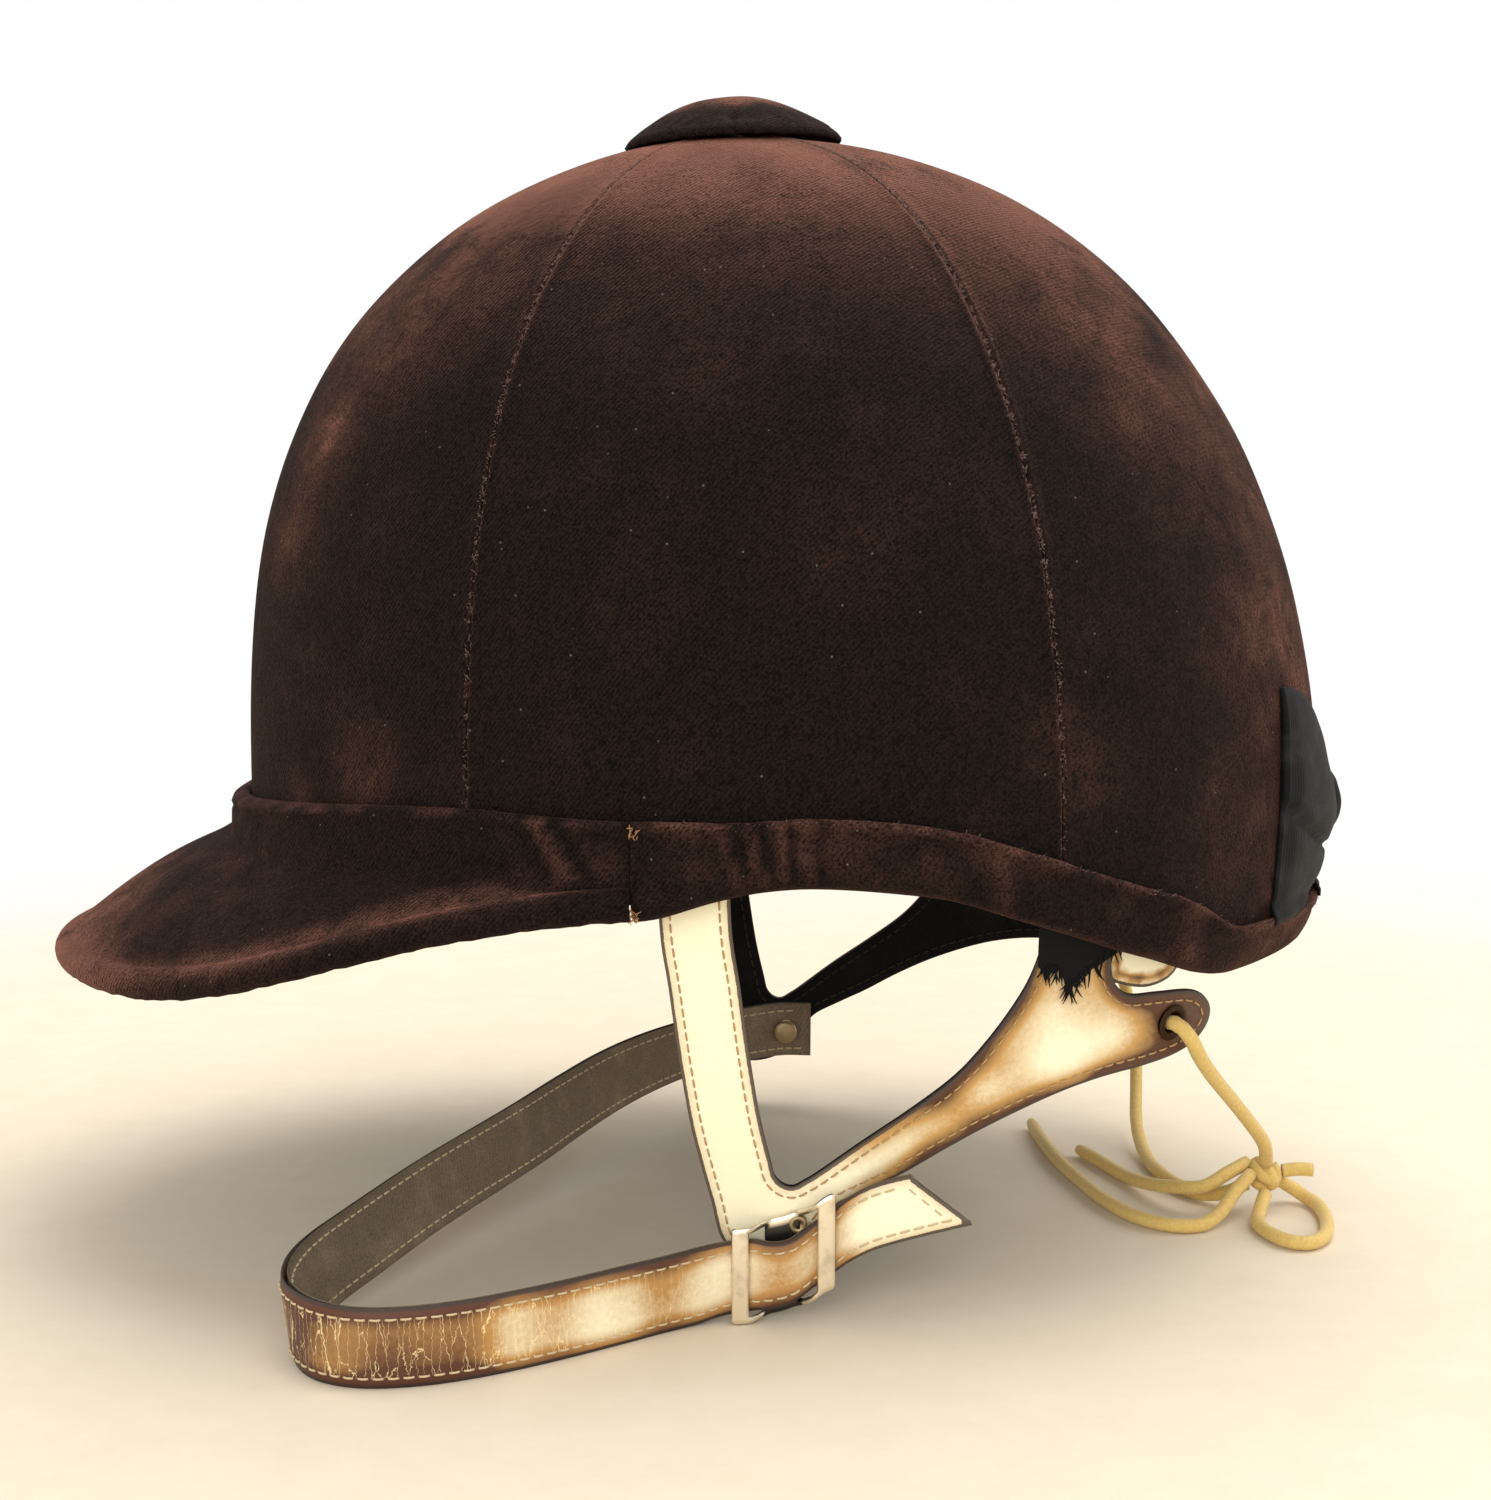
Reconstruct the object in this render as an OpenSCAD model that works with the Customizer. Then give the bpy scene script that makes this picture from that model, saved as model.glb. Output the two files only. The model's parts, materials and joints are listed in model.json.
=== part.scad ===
// Velvet riding cap with a rigid peak, leather harness, chin strap and nape lace.
// Millimetres. +Z is up, the peak points to -X and the wearer's left side is at -Y.
// The origin is the middle of the head opening, level with the top of the rim's side arches.

/* [Crown] */
// Half length of the crown over the velvet
crown_half_length = 122.5; // [112:0.5:132]
// Half width of the crown over the velvet
crown_half_width = 103; // [94:0.5:112]
// Height of the crown over the side arches of the rim
crown_height = 153.5; // [140:0.5:165]
// How far the top of the crown lies in front of its middle
apex_shift = -6.5; // [-12:0.5:0]
// Thickness of the velvet with its interlining
velvet_t = 1.2; // [0.8:0.1:1.6]
// Thickness of the hard shell
shell_t = 3; // [2.4:0.1:3.6]
// Angle of the rear seams from the back
rear_seam = 60; // [48:1:72]
// Angle of the front seams from the back
front_seam = 126; // [114:1:138]

/* [Rim band] */
// Depth of the band's crest in front of the velvet at the peak
band_proud = 4.6; // [3.6:0.1:5.6]
// Thickness of the rear band
band_t = 1.8; // [1.4:0.1:2.4]
// Height of the velvet that is turned up inside the rim
hem_h = 8; // [5:0.5:11]

/* [Peak] */
// Distance of the peak's tip from the origin
peak_reach = 168.5; // [160:0.5:178]
// Half width of the peak's outline at the temples
peak_half_width = 105; // [104:0.5:108]
// Thickness of the peak board
board_t = 2.5; // [2:0.1:3]
// Radius of the cord inside the peak's edge
edge_cord_r = 2.1; // [1.8:0.1:2.4]
// Drop of the peak's edge below the temples
peak_drop = 19.5; // [14:0.5:25]

/* [Button] */
// Radius of the covered button
button_r = 24.5; // [20:0.5:27]
// Height of the button over the crown
button_h = 9.5; // [8:0.5:13]
// Radius of the rivet that holds the button
button_rivet_r = 2.4; // [2:0.1:3]

/* [Lining] */
// Thickness of the foam liner
liner_t = 14; // [11:0.5:16]
// Thickness of the crown lining cloth
lining_t = 0.8; // [0.6:0.1:1.2]
// Thickness of the sweatband leather
sweatband_t = 1.2; // [0.9:0.1:1.6]
// Height of the sweatband
sweatband_h = 34; // [30:1:36]

/* [Harness] */
// Thickness of the harness leather
leather_t = 1.4; // [1:0.1:1.8]
// Thickness of the suede under the harness leather
suede_t = 1; // [0.7:0.1:1.3]
// Thickness of the black tape under the rim
tape_t = 0.5; // [0.3:0.1:0.8]
// Width of the front harness strap
front_strap_w = 13; // [11:0.2:14]
// Depth of the strap rivets below the origin
pivot_drop = 72; // [66:1:78]
// Radius of the strap rivets
pivot_r = 1.5; // [1.2:0.1:1.8]
// Inward lean of the harness for each millimetre down
harness_lean = 0.17; // [0.13:0.005:0.19]
// Radius of the lace eyelet's bore
eyelet_r = 2.4; // [2.2:0.1:2.8]

/* [Chin strap] */
// Width of the chin strap at the chin
chin_w = 15.7; // [14.5:0.1:16.5]
// Width of the chin strap's free end
chin_end_w = 13.4; // [12:0.2:14.4]
// Thickness of the chin strap's outer leather
chin_t = 1.3; // [1:0.1:1.6]
// Thickness of the chin strap's backing
chin_back_t = 0.9; // [0.7:0.1:1.2]
// Thickness of the slide's metal
slide_t = 1; // [0.8:0.1:1.4]
// Length of the slide along the strap
slide_l = 21; // [19:0.5:24]
// Width of a slide's bar
slide_bar_w = 3.4; // [2.8:0.1:4]

/* [Bow] */
// Angle from the back to the end of a bow loop
bow_angle = 29; // [24:1:32]
// Height of a bow loop at its end
bow_end_h = 50; // [42:1:54]
// Height of the bow at its knot
bow_knot_h = 20; // [16:1:24]

/* [Nape lace] */
// Diameter of the nape lace
lace_d = 3.2; // [2.6:0.2:3.6]

/* [Hidden] */

fit_gap = 0.2;     // between cloth, shell and trim of one body
move_gap = 0.3;    // between pieces that move on each other
column_step = 6;   // degrees between the columns of the crown's grid
crown_rows = 11;
top_hole_r = 3.4;
pole_shift = -5;    // how far the button's rivet lies in front of the apex
shell_lift = 1.8;   // height of the shell's edge over the rim
skirt_h = 13;       // height of the crown's lowest row of facets
rim_draw = 0.03;    // share by which the back of the rim is drawn in
through = 140;      // length of a cut through one side of the cap
rivet_cut = 30;     // length of a cut through the leather at one rivet

shell_out = velvet_t + fit_gap;
shell_in = shell_out + shell_t;
hem_out = shell_in + fit_gap;
hem_t = 1;
strap_out = hem_out + hem_t + tape_t + 0.3;
leather_in = strap_out + leather_t;
suede_in = leather_in + fit_gap + suede_t;
liner_out = shell_in + 0.8;
liner_in = liner_out + liner_t;
lining_out = liner_in + 0.5;
lining_in = lining_out + lining_t;
sweat_low = suede_in + leather_t + 0.7;
sweat_top = lining_in + 0.4;

peak_centre = -31;
peak_length = peak_reach + peak_centre;
edge_r = edge_cord_r + 1.4;   // radius of the rolled edge
joint_angle = atan2(peak_half_width, peak_centre);

velvet_brown = [0.16, 0.085, 0.07];
leather_cream = [0.93, 0.82, 0.6];
leather_tan = [0.72, 0.48, 0.24];
suede_dark = [0.22, 0.2, 0.17];
ribbon_black = [0.06, 0.07, 0.09];
nickel = [0.72, 0.7, 0.66];
lace_tan = [0.78, 0.62, 0.3];

// Lower edge of the cap for each angle from the back: arched over the ears
rim_line = [[0, -25], [34, -25], [47, -18.5], [63, -8.5], [75, -2], [88, 0], [98, -2],
            [106, -5], [122, -8], [180, -9]];
// Height of the band for each angle from the back
band_line = [[0, 9.5], [34, 10.5], [46, 14], [92, 14], [106, 18], [125, 22], [180, 16]];

function fold(phi) = let (t = abs(phi) % 360) t > 180 ? 360 - t : t;
function rim(phi) = lookup(fold(phi), rim_line);
function band_top(phi) = rim(phi) + lookup(fold(phi), band_line);
function ease(t) = let (c = min(1, max(0, t))) c * c * (3 - 2 * c);

// Crown surface: an oval plan drawn in towards the top, steeper in front
function rho(phi, inset) =
    1 / sqrt(pow(cos(phi) / (crown_half_length - inset), 2)
             + pow(sin(phi) / (crown_half_width - inset), 2));
function side_blend(phi, front, rear) =
    let (middle = (front + rear) / 2, c = cos(phi))
    middle + ((c < 0 ? front : rear) - middle) * c * c;
function fullness(phi) = side_blend(phi, 2.9, 2.15);
function rounding(phi) = side_blend(phi, 0.53, 0.445);
function drawn_in(phi, z) =
    rim_draw * ease(2 * cos(phi) - 0.9) * max(0, 1 - (z - rim(phi) - shell_lift) / skirt_h);
function narrowing(phi, z, inset) =
    (1 - drawn_in(phi, z))
    * (z <= 0 ? 1 : pow(max(0, 1 - pow(min(1, z / (crown_height - inset)), fullness(phi))),
                        rounding(phi)));
function wall_point(phi, z, inset) =
    let (r = rho(phi, inset) * narrowing(phi, z, inset),
         up = max(0, z),
         lean = apex_shift * pow(up / crown_height, 2)
                + pole_shift * pow(up / (crown_height - inset), 24))
    [r * cos(phi) + lean, r * sin(phi), z];
function row_z(phi, share, inset, low, hole) =
    let (limit = acos(pow(hole / rho(phi, inset), 0.5 / rounding(phi))))
    (crown_height - inset) * pow(sin(limit * share), 2 / fullness(phi)) + low * pow(1 - share, 2);

// Columns from one angle to another, and the crown's grid between an edge and a hole at the top
function columns(from, to, step = column_step) =
    let (n = ceil((to - from) / step - 0.01)) [for (i = [0:n]) from + (to - from) * i / n];
function crown_grid(angles, inset, lift, hole, rows = crown_rows) =
    concat([[for (a = angles) wall_point(a, rim(a) + lift, inset)],
            [for (a = angles) wall_point(a, rim(a) + lift + skirt_h, inset)]],
           [for (j = [1:rows]) [for (a = angles)
               wall_point(a, row_z(a, j / rows, inset, rim(a) + lift, hole), inset)]]);

// A closed solid between two grids of points of the same size, open or joined round
module slab(outer, inner, wrap = false) {
    rows = len(outer);
    count = len(outer[0]);
    last = rows - 1;
    steps = wrap ? count : count - 1;
    points = concat([for (r = outer) for (p = r) p], [for (r = inner) for (p = r) p]);
    function o(i, j) = i * count + j % count;
    function n(i, j) = rows * count + i * count + j % count;
    faces = concat(
        [for (i = [0:last - 1]) for (j = [0:steps - 1])
            for (f = [[o(i, j), o(i + 1, j), o(i + 1, j + 1)],
                      [o(i, j), o(i + 1, j + 1), o(i, j + 1)],
                      [n(i, j), n(i + 1, j + 1), n(i + 1, j)],
                      [n(i, j), n(i, j + 1), n(i + 1, j + 1)]]) f],
        [for (j = [0:steps - 1])
            for (f = [[o(0, j), o(0, j + 1), n(0, j + 1)], [o(0, j), n(0, j + 1), n(0, j)],
                      [o(last, j), n(last, j + 1), o(last, j + 1)],
                      [o(last, j), n(last, j), n(last, j + 1)]]) f],
        wrap ? [] : [for (i = [0:last - 1])
            for (f = [[o(i, 0), n(i, 0), n(i + 1, 0)], [o(i, 0), n(i + 1, 0), o(i + 1, 0)],
                      [o(i, count - 1), n(i + 1, count - 1), n(i, count - 1)],
                      [o(i, count - 1), o(i + 1, count - 1), n(i + 1, count - 1)]]) f]);
    polyhedron(points, faces, convexity = 8);
}

// Hard shell with its rivet holes, and the velvet panels over it
module hard_shell() {
    angles = [for (a = [0:column_step:359]) a];
    color([0.2, 0.19, 0.18])
        difference() {
            slab(crown_grid(angles, shell_out, shell_lift, top_hole_r),
                 crown_grid(angles, shell_in, shell_lift, top_hole_r), true);
            for (side = [0, 1]) mirror([0, side, 0]) for (p = rivet_places)
                at_wall(p) cylinder(h = rivet_cut / 2, r = rivet_r + 0.05, center = true, $fn = 24);
        }
}
panel_gap = 0.15;   // degrees left free at each side of a seam
module crown_panel(from, to) {
    angles = columns(from + panel_gap, to - panel_gap);
    color(velvet_brown)
        slab(crown_grid(angles, 0, shell_lift, top_hole_r),
             crown_grid(angles, velvet_t, shell_lift, top_hole_r));
}
module crown_panel_front() crown_panel(front_seam, 360 - front_seam);
module crown_panel_left() crown_panel(360 - front_seam, 360 - rear_seam);
module crown_panel_right() crown_panel(rear_seam, front_seam);
module crown_panel_rear() crown_panel(-rear_seam, rear_seam);

// Rear band: outside, under the rim and up inside it as a hem
module rear_band() {
    angles = concat([0.2 - joint_angle], [for (a = [-102:column_step:102]) a], [joint_angle - 0.2]);
    turn_h = 1.5;       // height over the rim at which the band turns in under the velvet
    stand = [band_t, band_t + 0.3, 1.2];
    color(velvet_brown)
        slab([for (i = [5:-1:0]) [for (a = angles)
                 let (r = rim(a), t = band_top(a))
                 i < 3 ? wall_point(a, [t, (r + t) / 2, r + turn_h][i], -fit_gap - stand[i])
                       : wall_point(a, [r + 0.3, r, r + hem_h][i - 3],
                                    [0.9, hem_out + hem_t / 2, hem_out + hem_t][i - 3])]],
             [for (i = [5:-1:0]) [for (a = angles)
                 let (r = rim(a), t = band_top(a))
                 i < 3 ? wall_point(a, [t, (r + t) / 2, r + turn_h + 0.15][i], -fit_gap)
                       : wall_point(a, [r + hem_t + 0.5, r + hem_t + 0.5, r + hem_h][i - 3],
                                    [1.2, hem_out, hem_out][i - 3])]]);
}

// Peak: outline point, rolled edge and top surface for a share u from -1 to 1 across it
function edge_low(u) =
    let (c = cos(90 * u)) -8 - peak_drop * ease((c - 0.1) / 0.75) - 4.5 * c;
function edge_out(u) =
    let (c = cos(90 * u) / peak_length, s = sin(90 * u) / peak_half_width, n = norm([c, s]))
    [-c / n, s / n, 0];
function edge_centre(u) =
    [peak_centre - peak_length * cos(90 * u), peak_half_width * sin(90 * u), edge_low(u) + edge_r]
    - edge_r * edge_out(u);
function root_angle(u) = let (p = edge_centre(u)) atan2(p[1], p[0]);
function root_z(u) = -5 + 2 * pow(cos(90 * u), 2);
function proud(u) = 2 + (band_proud - 2) * ease(cos(90 * u));
function peak_top(u, share) =
    let (root = wall_point(root_angle(u), root_z(u), -proud(u) - 0.6),
         edge = edge_centre(u) + [0, 0, edge_r])
    root + (edge - root) * share + [0, 0, 2.2 * sin(180 * share) * cos(90 * u)];
function below(p, drop) = [p[0], p[1], p[2] - drop];
function roll(u, angle, r) =
    edge_centre(u) + r * (cos(angle) * edge_out(u) + [0, 0, sin(angle)]);
across = [for (i = [-14:14]) i / 14];
board_drop = 1.9;
bead_h = 3;         // height of the roll along the front band's top
module peak_cover() {
    cover_t = 1;
    color(velvet_brown)
        slab([for (i = [0:8]) [for (u = across)
                 let (a = root_angle(u), t = band_top(a))
                 i == 0 ? wall_point(a, t, -1.4)
                 : i == 1 ? wall_point(a, t - bead_h, -proud(u))
                 : i < 6 ? peak_top(u, (i - 2) / 3)
                 : roll(u, [35, -25, -85][i - 6], edge_r)]],
             [for (i = [0:8]) [for (u = across)
                 let (a = root_angle(u), t = band_top(a))
                 i == 0 ? wall_point(a, t, -fit_gap)
                 : i == 1 ? wall_point(a, t - bead_h, -fit_gap)
                 : i == 2 ? wall_point(a, root_z(u) - cover_t, -fit_gap)
                 : i < 5 ? below(peak_top(u, (i - 2) / 3), cover_t)
                 : i == 5 ? roll(u, 90, edge_r - 0.9)
                 : roll(u, [35, -25, -85][i - 6], edge_r - 0.9)]]);
}
board_across = [for (i = [-12:12]) i / 14];
function board_point(u, share, drop) =
    let (reach = proud(u) + 0.1,
         root = below(peak_top(u, 0), drop) - reach * [cos(root_angle(u)), sin(root_angle(u)), 0],
         e = roll(u, 180, edge_cord_r + 0.5), edge = [e[0], e[1], e[2] + edge_r - drop])
    root + (edge - root) * share + [0, 0, 2.2 * sin(180 * share) * cos(90 * u)];
module peak_board() {
    color([0.35, 0.27, 0.2])
        slab([for (s = [0, 0.33, 0.67, 1]) [for (u = board_across) board_point(u, s, board_drop)]],
             [for (s = [0, 0.33, 0.67, 1]) [for (u = board_across)
                 board_point(u, s, board_drop + board_t)]]);
}
module peak_lining() {
    low = board_drop + board_t + 2 * fit_gap;
    cloth_t = 1;
    shares = [0.33, 0.67, 0.98];
    function under(u) = min(rim(root_angle(u)) + 1, board_point(u, 0, low)[2]);
    color([0.12, 0.07, 0.06])
        slab([for (i = [0:5]) [for (u = board_across)
                 let (a = root_angle(u))
                 i == 0 ? wall_point(a, rim(a) + hem_h, hem_out + 0.1)
                 : i == 1 ? wall_point(a, under(u), hem_out + 0.1)
                 : i == 2 ? wall_point(a, under(u), 0)
                 : board_point(u, shares[i - 3], low)]],
             [for (i = [0:5]) [for (u = board_across)
                 let (a = root_angle(u))
                 i == 0 ? wall_point(a, rim(a) + hem_h, hem_out + hem_t)
                 : i == 1 ? wall_point(a, under(u) - cloth_t, hem_out + hem_t)
                 : i == 2 ? wall_point(a, under(u) - cloth_t, 0)
                 : board_point(u, shares[i - 3], low + cloth_t)]]);
}

// Tube of even thickness along a list of points
function path_dir(path, i) =
    let (d = path[min(len(path) - 1, i + 1)] - path[max(0, i - 1)]) d / norm(d);
function side_of(dir) =
    let (s = cross(dir, abs(dir[2]) < 0.9 ? [0, 0, 1] : [1, 0, 0])) s / norm(s);
module tube(path, r, sides = 8) {
    n = len(path);
    points = [for (i = [0:n - 1])
        let (d = path_dir(path, i), s = side_of(d), t = cross(d, s))
        for (k = [0:sides - 1])
            path[i] + r * (cos(360 * k / sides) * s + sin(360 * k / sides) * t)];
    function q(i, k) = i * sides + k % sides;
    faces = concat(
        [for (i = [0:n - 2]) for (k = [0:sides - 1])
            for (f = [[q(i, k), q(i + 1, k), q(i + 1, k + 1)],
                      [q(i, k), q(i + 1, k + 1), q(i, k + 1)]]) f],
        [for (k = [1:sides - 2]) [q(0, 0), q(0, k), q(0, k + 1)]],
        [for (k = [1:sides - 2]) [q(n - 1, 0), q(n - 1, k + 1), q(n - 1, k)]]);
    polyhedron(points, faces, convexity = 6);
}
module peak_edge_cord() {
    color([0.8, 0.76, 0.68])
        tube([for (i = [-12:12]) edge_centre(i / 14)], edge_cord_r, 8);
}

// Covered button and the rivet that goes through the crown
button_place = [apex_shift + pole_shift, 0, crown_height];
button_tilt = 2.5;
function button_base(r) = 0.8 - 2.4 * pow(r / 24, 2);
module at_button() translate(button_place) rotate([0, -button_tilt, 0]) children();
module crown_button() {
    steps = 8;
    edge_h = 1.4;
    color(velvet_brown)
        at_button() rotate_extrude($fn = 48)
            polygon(concat(
                [for (i = [0:4]) let (r = button_rivet_r + fit_gap / 2
                                      + (button_r - button_rivet_r) * i / 4) [r, button_base(r)]],
                [for (i = [0:steps]) let (r = button_r * (1 - i / steps))
                    [r, button_h - (button_h - button_base(button_r) - edge_h) * pow(r / button_r, 1.9)]],
                [[0, button_h - 3.4], [button_rivet_r + fit_gap / 2, button_h - 3.4]]));
}
module button_rivet() {
    under = shell_in + 1;
    color(nickel)
        at_button() {
            translate([0, 0, -under - 1]) cylinder(h = under + button_h - 2.9, r = button_rivet_r, $fn = 32);
            translate([0, 0, -under - 1.2]) cylinder(h = 1.2, r = 8, $fn = 48);
        }
}

// Liner, lining cloth and sweatband
liner_lift = 24;
inner_step = 10;
inner_angles = [for (a = [0:inner_step:359]) a];
crown_hole = 13;
liner_rows = 7;
function liner_row(j, inset, lift) = [for (a = inner_angles)
    wall_point(a, j == 0 ? rim(a) + liner_lift + lift
                         : row_z(a, j / liner_rows, inset, rim(a) + liner_lift + lift, crown_hole), inset)];
liner_bevel = 18;
module foam_liner() {
    color([0.85, 0.83, 0.78])
        slab([for (j = [0:liner_rows]) liner_row(j, liner_out, 0)],
             [for (j = [0:liner_rows]) liner_row(j, liner_in, liner_bevel)], true);
}
// The lining cloth follows the liner and closes over its hole at the top
module crown_lining() {
    function middle(inset) = [for (a = inner_angles)
        [apex_shift + pole_shift + 1.5 * cos(a), 1.5 * sin(a), crown_height - inset]];
    color([0.1, 0.1, 0.11])
        slab(concat([for (j = [0:liner_rows]) liner_row(j, lining_out, liner_bevel)], [middle(lining_out)]),
             concat([for (j = [0:liner_rows]) liner_row(j, lining_in, liner_bevel)], [middle(lining_in)]),
             true);
}
module sweatband() {
    color([0.42, 0.26, 0.15])
        slab([for (j = [0:3]) [for (a = inner_angles)
                 wall_point(a, rim(a) + 1 + sweatband_h * j / 3,
                            sweat_low + (sweat_top - sweat_low) * j / 3)]],
             [for (j = [0:3]) [for (a = inner_angles)
                 wall_point(a, rim(a) + 1 + sweatband_h * j / 3,
                            sweat_low + sweatband_t + (sweat_top - sweat_low) * j / 3)]], true);
}

// Harness surface: hangs from the inside of the shell and leans inwards below the rim.
// depth is measured inwards from the outer face of the leather.
function harness_y(x, z, depth) =
    let (run = (crown_half_length - strap_out), half = crown_half_width - strap_out - depth)
    z > 0 ? rho_y(x, z, strap_out + depth)
          : half * sqrt(max(0.02, 1 - pow(x / run, 2))) + harness_lean * z;
function rho_y(x, z, inset) =
    let (k = narrowing(90, z, inset), lean = apex_shift * pow(z / crown_height, 2))
    (crown_half_width - inset) * k
    * sqrt(max(0.02, 1 - pow((x - lean) / (k * (crown_half_length - inset)), 2)));
harness_columns = [for (x = [-32:9:103]) x];
harness_rows = [-84, -40, 0, 13];
module harness_sheet(from, to) {
    slab([for (z = harness_rows) [for (x = harness_columns) [x, -harness_y(x, z, from), z]]],
         [for (z = harness_rows) [for (x = harness_columns) [x, -harness_y(x, z, to), z]]]);
}
// Outline of a V seen from the side: front strap, rounded end, rear strap, eyelet flap and the crotch
pivot = [2, -pivot_drop];
front_edge = [[-26, 13], [-25.7, -9], [-24, -22], [-22.2, -36], [-20, -50], [-17.7, -60], [-15.6, -68],
              [-13.6, -76]];
v_end = [[-9, -80.5], [-3, -80.5], [3, -77.8], [6.5, -73]];
rear_low = [[10, -68.6], [17, -65], [24, -61.6], [33, -56.6], [43, -51.8], [55, -47.3], [65, -45], [75, -44]];
flap_tip = [[82, -43], [87, -41.2], [90.2, -38], [90.8, -34.4], [88.6, -31], [84.4, -29], [77, -28.2], [70, -27.4]];
rear_top = [[66.5, -23], [65.5, -14], [66.6, 0], [66.8, 4.5], [52.6, 7.5], [52, -4], [51, -14]];
rear_high = [[48.6, -21.6], [44.6, -28.4], [39.4, -35.3], [33.6, -41.5], [25.4, -47.7], [15, -54.8],
             [6, -61.4]];
crotch = [[2.6, -63.6], [0, -64.5], [-2.6, -63.8], [-4.4, -61.4]];
eyelet_place = [81, -35.5];
module v_outline() {
    polygon(concat(front_edge, v_end, rear_low, flap_tip, rear_top, rear_high, crotch,
                   [for (i = [5:-1:0]) front_edge[i] + [front_strap_w, 0.8]]));
}
module side_cut() rotate([90, 0, 0]) linear_extrude(through) children();
// Place on the leather's outer face, with the local axis pointing outwards through it
function wall_turn(p) =
    atan2(sqrt(max(0.02, 1 - pow(p[0] / (crown_half_length - strap_out), 2)))
          / (crown_half_width - strap_out), p[0] / pow(crown_half_length - strap_out, 2));
module at_wall(p) {
    lean = p[1] > 0 ? 0 : atan(harness_lean);
    translate([p[0], -harness_y(p[0], p[1], 0), p[1]])
        rotate([0, 0, -wall_turn(p)]) rotate([0, 90 + lean, 0]) children();
}
module harness_part(from, to) {
    difference() {
        intersection() {
            harness_sheet(from, to);
            side_cut() v_outline();
        }
        translate([pivot[0], 0, pivot[1]]) rotate([90, 0, 0])
            cylinder(h = through, r = pivot_r + 0.05, $fn = 32);
        at_wall(eyelet_place) cylinder(h = rivet_cut / 2, r = eyelet_r + eyelet_wall, center = true, $fn = 32);
        for (p = rivet_places)
            at_wall(p) cylinder(h = rivet_cut / 2, r = rivet_r + 0.05, center = true, $fn = 24);
    }
}
module harness_left() color(leather_cream) harness_part(0, leather_t);
module harness_left_lining()
    color(suede_dark) harness_part(leather_t + fit_gap, leather_t + fit_gap + suede_t);
module harness_right() mirror([0, 1, 0]) harness_left();
module harness_right_lining() mirror([0, 1, 0]) harness_left_lining();

// Rear tab: a short leather tongue behind the flap, up into the cap
tab_depth = leather_t + suede_t + 2 * fit_gap;
module rear_tab_left() {
    color(leather_cream)
        difference() {
            intersection() {
                harness_sheet(tab_depth, tab_depth + leather_t);
                side_cut() polygon([[66, 2], [66, -23], [69, -25.6], [74, -27], [77.6, -26.8], [80.6, -25.6],
                                    [82.4, -23.2], [83, -18], [82, -2]]);
            }
            at_wall(rivet_places[2]) cylinder(h = rivet_cut, r = rivet_r + 0.05, center = true, $fn = 24);
        }
}
module rear_tab_right() mirror([0, 1, 0]) rear_tab_left();

// Rivets through the shell that hold the harness and the tabs
rivet_r = 1.4;
rivet_places = [[-19.5, 8], [59, -1.5], [73.5, -6]];
module harness_rivets() {
    outer = strap_out - shell_out - 0.2;   // through the tape and the shell, under the velvet
    color(nickel)
        for (side = [0, 1]) mirror([0, side, 0]) for (i = [0:2]) {
            inner = i == 2 ? tab_depth + leather_t + 0.4 : leather_t + fit_gap + suede_t + 0.3;
            at_wall(rivet_places[i]) {
                translate([0, 0, -inner - 0.9]) cylinder(h = outer + inner + 0.9, r = rivet_r, $fn = 24);
                translate([0, 0, -inner - 0.9]) cylinder(h = 0.9, r = 3.2, $fn = 32);
            }
        }
}

// Eyelets for the nape lace
eyelet_wall = 0.8;
module lace_eyelets() {
    stack = leather_t + suede_t + fit_gap;
    color([0.3, 0.22, 0.14])
        for (side = [0, 1]) mirror([0, side, 0])
            at_wall(eyelet_place) rotate_extrude($fn = 32)
                polygon([[eyelet_r, -stack - 0.5], [eyelet_r + 1.6, -stack - 0.5], [eyelet_r + 1.6, -stack - 0.1],
                         [eyelet_r + eyelet_wall, -stack - 0.1], [eyelet_r + eyelet_wall, 0.1],
                         [eyelet_r + 1.6, 0.1], [eyelet_r + 1.6, 0.5], [eyelet_r, 0.5]]);
}

// Frayed tape: black tape that hangs out under the rim over the rear strap
module frayed_tape() {
    color([0.04, 0.04, 0.045])
        difference() {
            intersection() {
                harness_sheet(-0.15 - tape_t, -0.15);
                side_cut() polygon([[50, 2], [50, -19], [51.6, -20.2], [54.6, -19.8], [56.2, -24.2],
                                    [58.1, -23.8], [59.5, -21.6], [61.9, -20.6], [67.3, -17.6],
                                    [69.5, -13], [70, -6], [68, 2]]);
            }
            at_wall(rivet_places[1]) cylinder(h = rivet_cut, r = rivet_r + 0.05, center = true, $fn = 24);
        }
}

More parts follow.
